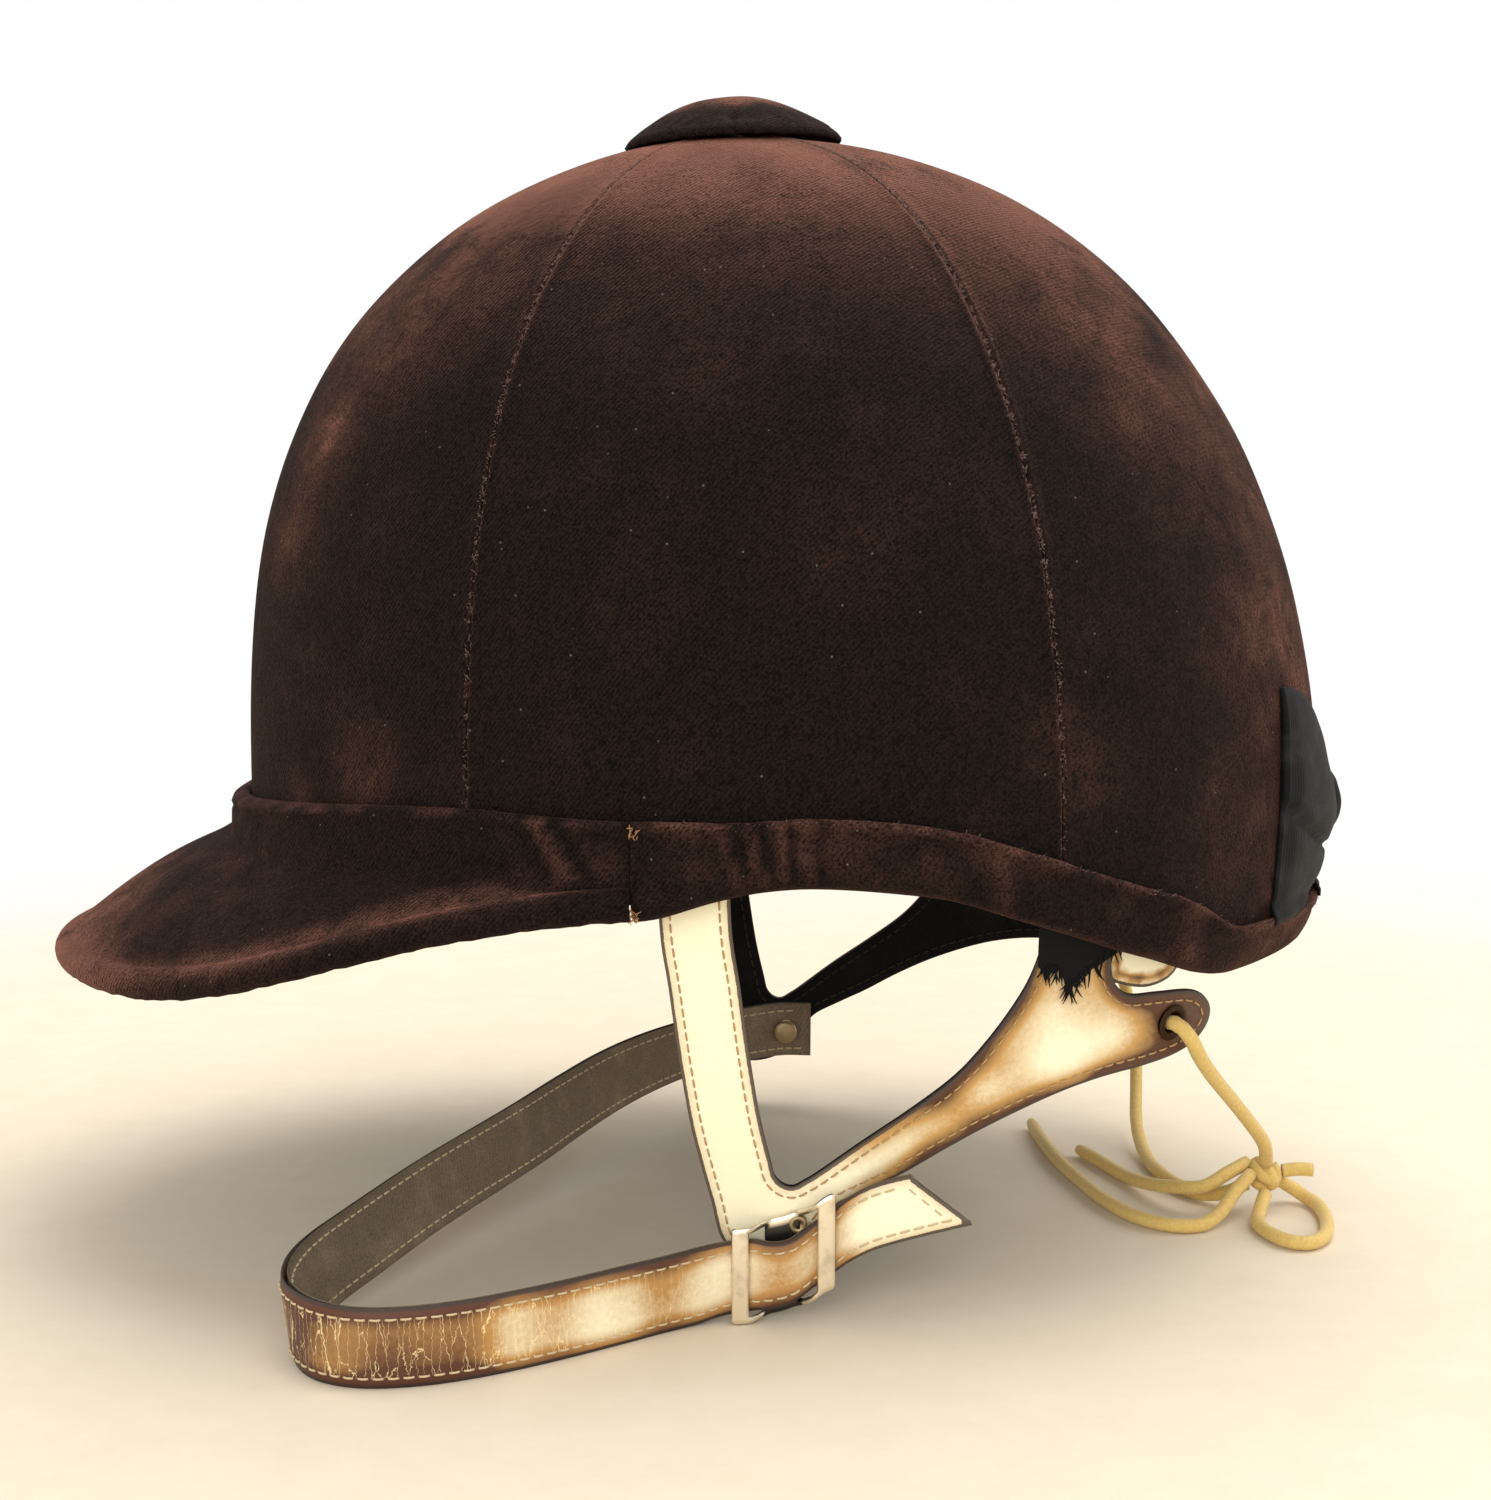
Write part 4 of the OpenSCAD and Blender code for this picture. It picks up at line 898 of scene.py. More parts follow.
# Velvet panels, with a welt along each seam
panelSettings = {
    "rows": 84, "step": 1.6, "gap": 0.12, "thickness": 0.9, "lumps": 0.3,
    "welt": 0.3, "weltPlace": 1.1, "weltWidth": 0.9, "seamDip": 0.14,
    # the last two give a painted highlight on the top of the crown: its strength and the height where it starts
    "seamWear": 0.34, "topWear": 0.62, "topWearFrom": 124,
    # worn spots: angle, height, radius in mm, strength
    "rubs": [(-155, 86, 9, 1.1), (-157, 66, 10, 0.6), (-152, 5, 8, 0.65), (-140, 20, 9, 0.5),
             (-27, 88, 11, 0.4), (-148, 110, 16, 0.3), (-35, 120, 22, 0.3), (-41, 92, 9, 0.35),
             (-61, 28, 7, 0.28), (-56, 20, 8, 0.22), (-100, 100, 12, 0.14), (-84, 68, 14, 0.1),
             (-90, 138, 30, 0.3), (150, 70, 14, 0.15), (35, 60, 18, 0.3), (90, 120, 20, 0.3)],
}


def rubMask(p, spots):
    total = 0
    for angle, height, radius, strength in spots:
        d = np.linalg.norm(p - wallPoint(angle, height, 0)) / radius
        if d < 2.2:
            total += strength * math.exp(-d * d * 1.2) * (0.65 + 0.7 * lumps(p, 3.5))
    return total


def paintedSheenMask(p):
    # Painted sheen: how much sheen the pile gets, most on the top and at the back, least low down and to the front
    high = 0.22 + 0.85 * ease((p[2] - 78) / 60) + 1.6 * ease((p[2] - 122) / 24)
    front = 0.5 + 0.5 * ease((p[0] + 112) / 90)
    back = 1 + 0.9 * ease((p[0] - 70) / 45)
    return max(0.1, high * front * back * (1 + 0.7 * lumps(p, 11) + 0.7 * lumps(p, 32, 3.0)))


def velvetPiece(name, points, faces, material, rub, node, nap=None):
    # the nap mask is painted sheen, and the rub mask holds real wear and painted highlights
    masks = {"rub": rub, "nap": nap or [paintedSheenMask(p) for p in points]}
    return makePiece(name, points, faces, material, None, masks, cap, [node], "velvet")


def panelColumns(start, end):
    s = panelSettings
    edge = [0, 0.12, 0.3, 0.5, 0.75, 1.05, 1.5]
    count = max(4, round((end - start - 3) / s["step"]))
    middle = [start + 1.5 + (end - start - 3) * k / count for k in range(1, count)]
    return [start + e for e in edge] + middle + [end - e for e in reversed(edge)]


def makePanel(name, start, end, node):
    s = panelSettings

    def cell(share, a):
        low = rimHeight(a) + crown["lift"]
        z = rowHeight(a, share, 0, low, crown["holeRadius"])
        p = wallPoint(a, z, 0)
        side = math.radians(min(a - start, end - a)) * math.hypot(p[0], p[1])
        raised = s["welt"] * math.exp(-((side - s["weltPlace"]) / s["weltWidth"]) ** 2)
        raised -= s["seamDip"] * max(0, 1 - side / 0.5) ** 2
        # painted highlight: the worn colour brightens the top of the crown
        topWear = s["topWear"] * ease((p[2] - s["topWearFrom"]) / 24) * (0.8 + 0.9 * lumps(p, 14))
        seamWear = s["seamWear"] * math.exp(-(side / 0.6) ** 2) * (0.5 + lumps(p, 2)) * (share < 0.8)
        fade = ease((1 - share) * 12)
        normal = wallNormal(a, min(z, crown["height"] - 2))
        back = wallPoint(a, rowHeight(a, share, s["thickness"], low, crown["holeRadius"]), s["thickness"])
        return (p + normal * (raised * fade + s["lumps"] * lumps(p, 26) * fade), back,
                rubMask(p, s["rubs"]) + seamWear + topWear)

    points, faces, rub = slabOf(shares(s["rows"]), panelColumns(start + s["gap"], end - s["gap"]), cell)
    return velvetPiece(name, points, faces, velvet, rub + [0] * len(rub), node)


makePanel("crownFront", crown["frontSeam"], 360 - crown["frontSeam"], "crown_panel_front")
makePanel("crownLeft", 360 - crown["frontSeam"], 360 - crown["rearSeam"], "crown_panel_left")
makePanel("crownRight", crown["rearSeam"], crown["frontSeam"], "crown_panel_right")
makePanel("crownRear", -crown["rearSeam"], crown["rearSeam"], "crown_panel_rear")
print("crown covered")


# Bands of velvet: a closed profile swept round the wall
jointAngle = math.degrees(math.atan2(105, -31))
bandSettings = {
    # the crease strengths in colour and in sheen paint highlights on the creases' ridges and shade in their dips
    "step": 1.0, "edgeWear": 0.5, "creaseWear": 0.42, "creaseNap": 1.6, "creaseScale": 1.25,
    "rubs": [(-101, 13.5, 3.2, 0.75), (-98.5, 14, 3, 0.5), (-104, 13, 3, 0.6), (-90.5, 9, 4.5, 0.3),
             (-86.5, 8, 6, 0.3), (-79, 10, 7, 0.26), (-84, 14, 5, 0.2), (-69, 8, 8, 0.14),
             (-60, 6, 12, 0.16), (-24, -8, 12, 0.5)],
    # creases: angle at the top, lean per mm down, depth, width in degrees
    "creases": [(-94.5, 0.12, 0.9, 0.85), (-91.2, 0.05, 0.75, 0.8), (-97.6, 0.2, 0.6, 0.8),
                (-88.6, 0.03, 0.6, 0.8), (-68, 0.06, 0.35, 1.6), (-43, -0.12, 0.5, 1.8),
                (92, 0.05, 0.6, 1.5), (60, 0.1, 0.4, 2)],
}


def creaseDepth(a, z):
    r, t = rimHeight(a), bandTop(a)
    share = (z - r) / max(1, t - r)
    window = ease(share * 4) * ease((1 - share) * 6)
    total = 0
    for angle, lean, depth, width in bandSettings["creases"]:
        d = (a - angle - lean * (t - z)) / width
        total += depth * (math.exp(-d * d) - 0.55 * math.exp(-((d - 1.5) / 1.2) ** 2))
    return total * window


def rearBandProfile(a):
    # Closed list of (inset, z); the rim dips towards the joint, and the top edge is a little uneven
    r = rimHeight(a) - 1.8 * ease((abs(a) - 93) / 13)
    t = bandTop(a) + 0.5 * lumps((a * 1.2, 0, 7), 6) + 0.25 * lumps((a * 1.2, 0, 2), 2)
    body = [(-2.15 - 0.25 * math.sin(math.pi * k), between(r + 3.4, t - 3.2, k)) for k in shares(9)]
    return ([(hemOut + 1, r + 8), (hemOut + 0.98, r + 3.2), (hemOut + 0.7, r + 1.4), (hemOut - 0.2, r + 0.35),
             (3.0, r - 0.05), (1.2, r), (-0.2, r + 0.3), (-1.2, r + 0.95), (-1.8, r + 1.9)] + body
            + [(-2.4, t - 2.2), (-2.85, t - 1.3), (-2.75, t - 0.5), (-2.1, t + 0.1), (-1.3, t + 0.1),
               (-0.5, t - 0.3), (-0.2, t - 1), (-0.2, r + 1.7), (1.2, r + 1.5), (hemOut, r + 1.5),
               (hemOut, r + 8)])


def rearBandLift(a, z):
    wave = 0.45 * lumps((a * 1.9, z * 1.3, 5), 9) * ease((z - rimHeight(a)) / 3)
    return creaseDepth(a, z) * bandSettings["creaseScale"] + wave


def makeRearBand():
    s = bandSettings
    end = jointAngle + 0.4
    steps = math.ceil(2 * end / s["step"])
    points, rub, nap = [], [], []
    for a in (-end + 2 * end * k for k in shares(steps)):
        ring = rearBandProfile(a)
        # the hem under the rim stays smooth
        for k, (inset, z) in enumerate(ring):
            lift = rearBandLift(a, z) if 7 <= k <= len(ring) - 5 else 0
            p = wallPoint(a, z, inset) + lift * outwards(a)
            points.append(p)
            onEdge = (inset < -1.2) * ease((z - bandTop(a) + 1.8) / 1.2)
            # painted highlights on the raised creases and painted shade in their dips, in the worn colour and in the
            # sheen
            worn = s["edgeWear"] * onEdge * max(0, 0.5 + lumps(p, 3)) + s["creaseWear"] * lift
            rub.append(max(0, rubMask(p, s["rubs"]) + worn))
            nap.append(paintedSheenMask(p) * max(0.1, 1 + s["creaseNap"] * lift))
    faces = gridFaces(steps + 1, len(ring), True, 0, True) + endFaces(steps + 1, len(ring))
    return velvetPiece("rearBand", points, faces, velvetBand, rub, "rear_band", nap)


makeRearBand()


# Peak: front band, top and rolled edge in one piece of velvet
peak = {
    "centre": -31.0, "reach": 168.5, "halfWidth": 105.0, "drop": 19.5, "edge": 3.5, "proud": 4.6,
    "board": 2.5, "cord": 2.1, "arch": 2.2, "across": 150,
    "rollAngles": (90, 72, 54, 36, 18, 0, -18, -36, -54, -70, -85),
    # painted highlight on the roll's crest and on raised folds; the light levels are painted sheen on the band, the
    # top, the tip and the crest
    "crestWear": 0.4, "edgeWear": 0.5, "foldWear": 0.45, "frontWear": 0.13,
    "crestLight": 1.1, "bandLight": 0.14, "topLight": 0.16, "tipLight": 0.95,
    # folds on the front band: share across, lean per mm down, depth, width
    "folds": [(0.885, 0.0016, 0.75, 0.014), (0.4, 0.001, 0.25, 0.03), (-0.89, 0.002, 0.25, 0.014),
              (-0.942, 0.0037, 0.85, 0.011), (-0.962, 0.0037, -0.7, 0.007), (-0.978, 0.003, 0.5, 0.008)],
}
peakLength = peak["reach"] + peak["centre"]


# u runs across the peak, from -1 at the left joint to 1 at the right one
def inMiddle(u):
    return math.cos(math.pi / 2 * u)


def edgeLow(u):
    c = inMiddle(u)
    return -8 - peak["drop"] * ease((c - 0.1) / 0.75) - 4.5 * c + 1.5 * ease((abs(u) - 0.86) / 0.14)


def edgeOut(u):
    c = inMiddle(u) / peakLength
    s = math.sin(math.pi / 2 * u) / peak["halfWidth"]
    n = math.hypot(c, s)
    return np.array((-c / n, s / n, 0))


def edgeCentre(u):
    return (np.array((peak["centre"] - peakLength * inMiddle(u),
                      peak["halfWidth"] * math.sin(math.pi / 2 * u), edgeLow(u) + peak["edge"]))
            - peak["edge"] * edgeOut(u))


def rootAngle(u):
    p = edgeCentre(u)
    return math.degrees(math.atan2(p[1], p[0]))


def rootHeight(u):
    return -5 + 2 * inMiddle(u) ** 2


def proudOf(u):
    return 2 + (peak["proud"] - 2) * ease(inMiddle(u))


def fillet(u):
    # the cloth runs smoothly from the band to the edge near the joint
    return 4.5 * ease((abs(u) - 0.45) / 0.4)


def arched(u, share, root, edge):
    return root + (edge - root) * share + (0, 0, peak["arch"] * math.sin(math.pi * share) * inMiddle(u))


def peakTop(u, share):
    root = wallPoint(rootAngle(u), rootHeight(u), -proudOf(u) - 0.6)
    return arched(u, share, root, edgeCentre(u) + (0, 0, peak["edge"]))


def roll(u, degrees, r):
    a = math.radians(degrees)
    return edgeCentre(u) + r * (math.cos(a) * edgeOut(u) + np.array((0, 0, math.sin(a))))


def boardPoint(u, share, drop):
    root = peakTop(u, 0) - (0, 0, drop) - (proudOf(u) + 0.1) * outwards(rootAngle(u))
    return arched(u, share, root, roll(u, 180, peak["cord"] + 0.5) + (0, 0, peak["edge"] - drop))


def peakColumn(u):
    # Outer points with their kinds, and inner points, from the band's top to under the edge.
    # Kinds: up to 1 on the band, 2 on top, 3 on the rolled edge.
    a, t = rootAngle(u), bandTop(rootAngle(u))
    proud = proudOf(u)
    low = rootHeight(u) + fillet(u)
    outer = [(wallPoint(a, t - drop, inset), kind) for drop, inset, kind in (
        (0.35, -0.5, 0), (0, -1.2, 0), (0.25, -2.0, 0.2), (1.1, -proud * 0.9, 0.3), (2.3, -proud, 0.4))]
    inner = [wallPoint(a, t - 0.5 - k * 0.5, -0.2) for k in range(5)]
    for share in shares(13)[1:-1]:
        pull = 0.9 * math.sin(math.pi * min(1, share * 3)) * (share < 0.34)
        outer.append((wallPoint(a, between(t - 2.3, low + 3.0, share), -proud + 0.5 * pull), 1))
    outer.append((wallPoint(a, low + 2.1, -proud - 0.15), 0.3))
    inner += [wallPoint(a, between(t - 3, low - 1, share), -0.2) for share in shares(12)]
    for k in range(29):
        share = k / 28 * 0.985
        p = peakTop(u, share) + (0, 0, 1.3 * max(0, 1 - share / 0.2) ** 2 + fillet(u) * (1 - share) ** 1.6)
        outer.append((p, 2 if k > 1 else 0.2))
        inner.append(p - (0, 0, 1.0 if k > 1 else 1.6))
    for degrees in peak["rollAngles"]:
        outer.append((roll(u, degrees, peak["edge"]), 3))
        inner.append(roll(u, degrees, peak["edge"] - 0.9))
    return outer, inner


def makePeak():
    s = peak
    us = [2 * k - 1 for k in shares(s["across"])]
    us = [between(u, math.sin(math.pi / 2 * u), 0.35) for u in us]
    columns = {u: peakColumn(u) for u in us}
    rows = len(columns[us[0]][0])

    def cell(i, u):
        p, kind = columns[u][0][i]
        lift = 0
        if kind in (1, 0.4, 0.3):
            lift = 0.35 * lumps(p, 7)
            for place, lean, depth, width in s["folds"]:
                d = (u - place + lean * p[2] * (1 if u > 0 else -1)) / width
                lift += depth * 0.7 * (math.exp(-d * d) - 0.5 * math.exp(-((d - 1.6) / 1.3) ** 2))
            p = p + outwards(rootAngle(u)) * lift * min(1, kind + 0.2)
        elif kind == 2:
            p = p + (0, 0, 0.35 * lumps(p, 18) * inMiddle(u))
        elif kind == 3:
            ragged = 0.5 * (i > rows - 4) * lumps(p, 1.6)
            p = p + (0, 0, 0.12 * lumps(p, 5) + ragged)
        # painted highlight along the upper side of the roll, higher up and fainter towards the joint
        centre = edgeCentre(u)
        above = 1.4 + 3.4 * ease((abs(u) - 0.35) / 0.45)
        crest = (math.exp(-((p[2] - centre[2] - above) / 2.5) ** 2) * (np.linalg.norm(p - centre) < 11)
                 * ease((1 - abs(u)) / 0.2))
        # painted sheen: little on the band and the top near it, more towards the tip and on the crest, more on raised
        # folds and less in their dips
        onBand = kind <= 1
        light = s["bandLight"] if onBand else s["topLight"] + s["tipLight"] * ease((-p[0] - 132) / 34)
        patches = 1 + 0.8 * lumps(p, 8) + 0.7 * lumps(p, 22) + 1.2 * lift
        nap = (light + s["crestLight"] * crest) * patches
        topEdge = s["edgeWear"] * (i in (1, 2, 3)) * max(0, 0.4 + lumps(p, 5))
        # painted highlight on the raised folds near the joints
        folded = s["foldWear"] * lift * ease((abs(u) - 0.84) / 0.06)
        front = s["frontWear"] * (not onBand) * ease((-p[0] - 130) / 24) * (0.7 + lumps(p, 12))
        rub = s["crestWear"] * crest * (0.75 + lumps(p, 4)) + topEdge + folded + front
        return p, columns[u][1][i], max(0.1, nap), max(0, rub)

    points, faces, nap, rub = slabOf(range(rows), us, cell)
    return velvetPiece("peakCover", points, faces, velvetBand, rub + [0] * len(rub), "peak_cover", nap * 2)


def makePeakLining():
    low = 1.9 + peak["board"] + 0.4
    cloth = 1.0

    def cell(i, u):
        a = rootAngle(u)
        under = min(rimHeight(a) + 1, boardPoint(u, 0, low)[2])
        if i == 0:
            return wallPoint(a, rimHeight(a) + 8, hemOut + 0.1), wallPoint(a, rimHeight(a) + 8, hemOut + 1)
        if i == 1:
            return wallPoint(a, under, hemOut + 0.1), wallPoint(a, under - cloth * 0.6, hemOut + 1)
        if i == 2:
            return wallPoint(a, under, 0), wallPoint(a, under - cloth, 0)
        share = 0.2 + 0.78 * (i - 3) / 10
        return boardPoint(u, share, low), boardPoint(u, share, low + cloth)

    points, faces = slabOf(range(14), [12 / 14 * (2 * k - 1) for k in shares(90)], cell)
    return velvetPiece("peakLining", points, faces, velvetUnder, [0] * len(points), "peak_lining")


makePeak()
makePeakLining()
print("bands and peak covered")


# Covered button with small gathers round its edge, and a painted highlight and painted sheen on its top
button = {"radius": 24.5, "height": 9.5, "place": (-11.5, 0, 153.5), "tilt": -2.5, "bore": 2.5, "gathers": 30,
          "gatherDepth": 0.3, "edge": 1.4, "pucker": (0.5, -19.5), "puckerDepth": 1.1, "topWear": 0.3}


def buttonBase(r):
    return 0.8 - 2.4 * (r / 24) ** 2


def makeButton():
    s = button
    radius, rows, steps = s["radius"], 26, 180
    dome = s["height"] - buttonBase(radius) - s["edge"]
    under = [between(s["bore"], radius, k) for k in shares(5)[:-1]]
    profile = [(r, buttonBase(r)) for r in under]
    profile += [(radius - 0.35, buttonBase(radius) + 0.05), (radius, buttonBase(radius) + 0.6)]
    for k in range(1, rows + 1):
        r = radius * (1 - (k / rows) ** 1.15 * 0.999)
        profile.append((r, s["height"] - dome * (r / radius) ** 2.05 - 0.1 * (k < 2)))
    turn = Matrix.Translation(s["place"]) @ Matrix.Rotation(math.radians(s["tilt"]), 4, "Y")
    points, nap, rub = [], [], []
    for a in (2 * math.pi * k / steps for k in range(steps)):
        for r, h in profile:
            raised = h > 1.5
            gather = ease((r / radius - 0.72) / 0.25) if raised or r > radius - 0.5 else 0
            ripple = s["gatherDepth"] * math.sin(s["gathers"] * a + 1.3 * math.sin(3 * a)) * gather
            x, y = r * math.cos(a), r * math.sin(a)
            soft = 0.35 * lumps((x, y, 3), 10) * raised
            # a drawn-in pucker at the front
            px, py = x - s["pucker"][0], y - s["pucker"][1]
            away = math.hypot(px, py)
            star = 1 + 0.5 * math.cos(6 * math.atan2(py, px))
            soft -= raised * (s["puckerDepth"] * math.exp(-(away / 1.6) ** 2)
                              + 0.35 * star * math.exp(-(away / 4.5) ** 2))
            wide = r + 0.5 * ripple
            points.append(turn @ Vector((wide * math.cos(a), wide * math.sin(a), h + ripple * 0.5 + soft)))
            # painted highlight and painted sheen on the top of the dome, less of both round the pucker
            top = (ease((h - 4.4) / 3.4) * (0.9 + 1.3 * lumps((x, y, 9), 7))
                   * (1 - 0.8 * math.exp(-(away / 6) ** 2)))
            nap.append(max(0.08, 0.1 + 1.1 * top))
            gathered = 0.1 * gather * (0.5 + lumps(points[-1], 3)) * ease((y + 5) / 10)
            rub.append(max(0, s["topWear"] * top + gathered))
    faces = turnedFaces(steps, len(profile))
    faces.append(tuple((k + 1) * len(profile) - 1 for k in range(steps)))
    return velvetPiece("crownButton", points, faces, velvet, rub, "crown_button", nap)


makeButton()
print("button covered")


# Ribbon bow on the nape
bow = {"angle": 27.8, "end": 50.0, "knot": 20.0, "knotHigh": 17.0, "middle": 3.0, "rise": 6.0,
       "bandDepth": 1.8, "fan": 0.55, "layer": 0.7, "columns": 60, "rows": 34,
       "puff": [(0, 0.6), (0.06, 1.2), (0.2, 2.3), (0.4, 3.1), (0.6, 3.1), (0.85, 2.1), (0.96, 1.1),
                (1, 0.6)]}


def bowMiddle(phi):
    return bow["middle"] + bow["rise"] * ease(abs(phi) / bow["angle"])


def bowHalf(phi):
    return between(bow["knot"], bow["end"], ease(abs(phi) / bow["angle"])) / 2


def ribbonSeat(phi, z):
    return 0.4 + (bow["bandDepth"] + 0.5) * (1 - ease((z - bandTop(phi)) / 3))


def ribbonPiece(name, points, faces, flow, node):
    return makePiece(name, points, faces, ribbon, flow, replaces=[node], slot="ribbon")


def makeBowLoop(name, side, node):
    def cell(share, a):
        run = abs(a) / bow["angle"]
        b = a * (1 - 0.12 * (share - 0.4) * run)
        z = bowMiddle(a) + bowHalf(a) * (2 * share - 1)
        tuck = ease((run - 0.9) / 0.1)
        fan = bow["fan"] * math.sin(share * 15 + 1.5 * math.sin(share * 5)) * (1 - ease((run - 0.2) / 0.65))
        soft = 0.5 * lumps((a * 2, z, side * 9), 12) * run
        # the upper layer lies over the lower one, with its edge running down to the knot
        over = share - 0.03 - 0.47 * run
        layer = bow["layer"] * ease(over / 0.05 + 0.5) - math.exp(-((over + 0.02) / 0.03) ** 2)
        puff = smoothLookup(share, bow["puff"]) * (1.15 - 0.45 * run) * (1 - 0.55 * tuck)
        seat = ribbonSeat(b, z)
        lift = max(0.5, puff + fan + soft + layer * ease(run * 4))
        return wallPoint(b, z, -seat - lift), wallPoint(b, z, -seat), (abs(a) * 2.1, z, 0)

    angles = [side * between(4.4, bow["angle"], k) for k in shares(bow["columns"])][::side]
    points, faces, flow = slabOf(shares(bow["rows"]), angles, cell)
    return ribbonPiece(name, points, faces, flow * 2, node)


def makeBowKnot():
    def cell(share, a):
        t = share * 2 - 1
        z = bow["middle"] + t * bow["knotHigh"] / 2
        ridge = 0.75 * math.sin(a * 1.9 + t * 2) * (1 - t * t)
        lift = 1.4 + (6.2 * math.sqrt(max(0, 1 - t * t * 0.96)) + ridge) * (1 - 0.026 * a * a)
        return wallPoint(a, z, -lift), wallPoint(a, z, -0.3), (z * 1.2, a * 2, 0)

    points, faces, flow = slabOf(shares(30), [9.2 * k - 4.6 for k in shares(24)], cell)
    return ribbonPiece("bowKnot", points, faces, flow * 2, "bow_knot")


def makeBowTails():
    parts, flow = [], []
    for side in (-1, 1):
        def cell(down, over):
            z = bow["middle"] - 18.9 + 10 * down
            a = side * (0.6 + 3.6 * (1 - down) + over * (2.6 + 4.2 * (1 - down)))
            seat = ribbonSeat(a, z)
            lift = 0.6 + 0.2 * math.sin(over * 7)
            return wallPoint(a, z, -seat - lift), wallPoint(a, z, -seat), (z, a * 2, 0)

        points, faces, found = slabOf(shares(8), shares(8)[::side], cell)
        parts.append((points, faces))
        flow += found * 2
    return ribbonPiece("bowTails", *joined(parts), flow, "bow_tails")


makeBowLoop("bowLoopLeft", -1, "bow_loop_left")
makeBowLoop("bowLoopRight", 1, "bow_loop_right")
makeBowKnot()
makeBowTails()
print("bow tied")


# Sheets cut to an outline: rounded edges, attributes for edge wear and a place for stitches
def signedArea(line):
    return sum(a[0] * b[1] - b[0] * a[1] for a, b in zip(line, np.roll(line, -1, axis=0)))


def insetLine(line, distance):
    # Closed line moved inwards; points that end up too near the outline are dropped
    sign = 1 if signedArea(line) > 0 else -1
    moved = []
    for i in range(len(line)):
        d = line[(i + 1) % len(line)] - line[i - 1]
        moved.append(line[i] + np.array((-d[1], d[0])) * sign / max(1e-9, math.hypot(*d)) * distance)
    moved = np.array(moved)
    return moved[edgeDistance(moved, line) > distance * 0.965]


def edgeDistance(points, line):
    # Distance of each point to a closed line
    best = np.full(len(points), 1e9)
    for a, b in zip(line, np.roll(line, -1, axis=0)):
        ab = b - a
        t = np.clip(((points - a) @ ab) / max(1e-12, ab @ ab), 0, 1)
        best = np.minimum(best, np.linalg.norm(points - a - t[:, None] * ab, axis=1))
    return best


def insidePoints(points, line):
    inside = np.zeros(len(points), bool)
    xs, ys = points[:, 0], points[:, 1]
    for a, b in zip(line, np.roll(line, -1, axis=0)):
        crosses = (a[1] > ys) != (b[1] > ys)
        with np.errstate(divide="ignore", invalid="ignore"):
            at = (b[0] - a[0]) * (ys - a[1]) / (b[1] - a[1]) + a[0]
        inside ^= crosses & (xs < at)
    return inside


def freePoints(points, loops, clear, holeClear):
    # The points inside the first loop and outside the others that keep clear of them all
    points = points[insidePoints(points, loops[0])]
    free = edgeDistance(points, loops[0]) > clear
    for hole in loops[1:]:
        free &= ~insidePoints(points, hole) & (edgeDistance(points, hole) > holeClear)
    return points[free]


def cutFlat(loops, more):
    # Points and triangles of a sheet between an outline and its holes
    flat = [p for line in loops + more for p in line]
    edges, shift = [], 0
    for loop in loops:
        edges += [(shift + k, shift + (k + 1) % len(loop)) for k in range(len(loop))]
        shift += len(loop)
    found, _, triangles, *_ = delaunay_2d_cdt([Vector(p) for p in flat], edges, [], 1, 1e-5)
    points = np.array([(p.x, p.y) for p in found])
    middles = np.array([points[list(t)].mean(axis=0) for t in triangles])
    good = insidePoints(middles, loops[0])
    for hole in loops[1:]:
        good &= ~insidePoints(middles, hole)
    kept = []
    for t, keep in zip(triangles, good):
        if keep:
            a, b, c = (points[i] for i in t)
            turn = (b[0] - a[0]) * (c[1] - a[1]) - (c[0] - a[0]) * (b[1] - a[1])
            kept.append(tuple(t) if turn > 0 else tuple(t)[::-1])
    return points, kept, [edgeDistance(points, loop) for loop in loops]


def thickFaces(used, count):
    # Both sides of a cut sheet, with walls along every edge that only one triangle has
    seen = dict.fromkeys((a, b) for t in used for a, b in zip(t, t[1:] + t[:1]))
    return (used + [tuple(i + count for i in t)[::-1] for t in used]
            + [(b, a, a + count, b + count) for a, b in seen if (b, a) not in seen])


def roundedEdge(d, r):
    # How far a surface sinks at a distance d from its edge
    return r * (1 - math.sqrt(max(0, 1 - max(0, 1 - d / r) ** 2)))


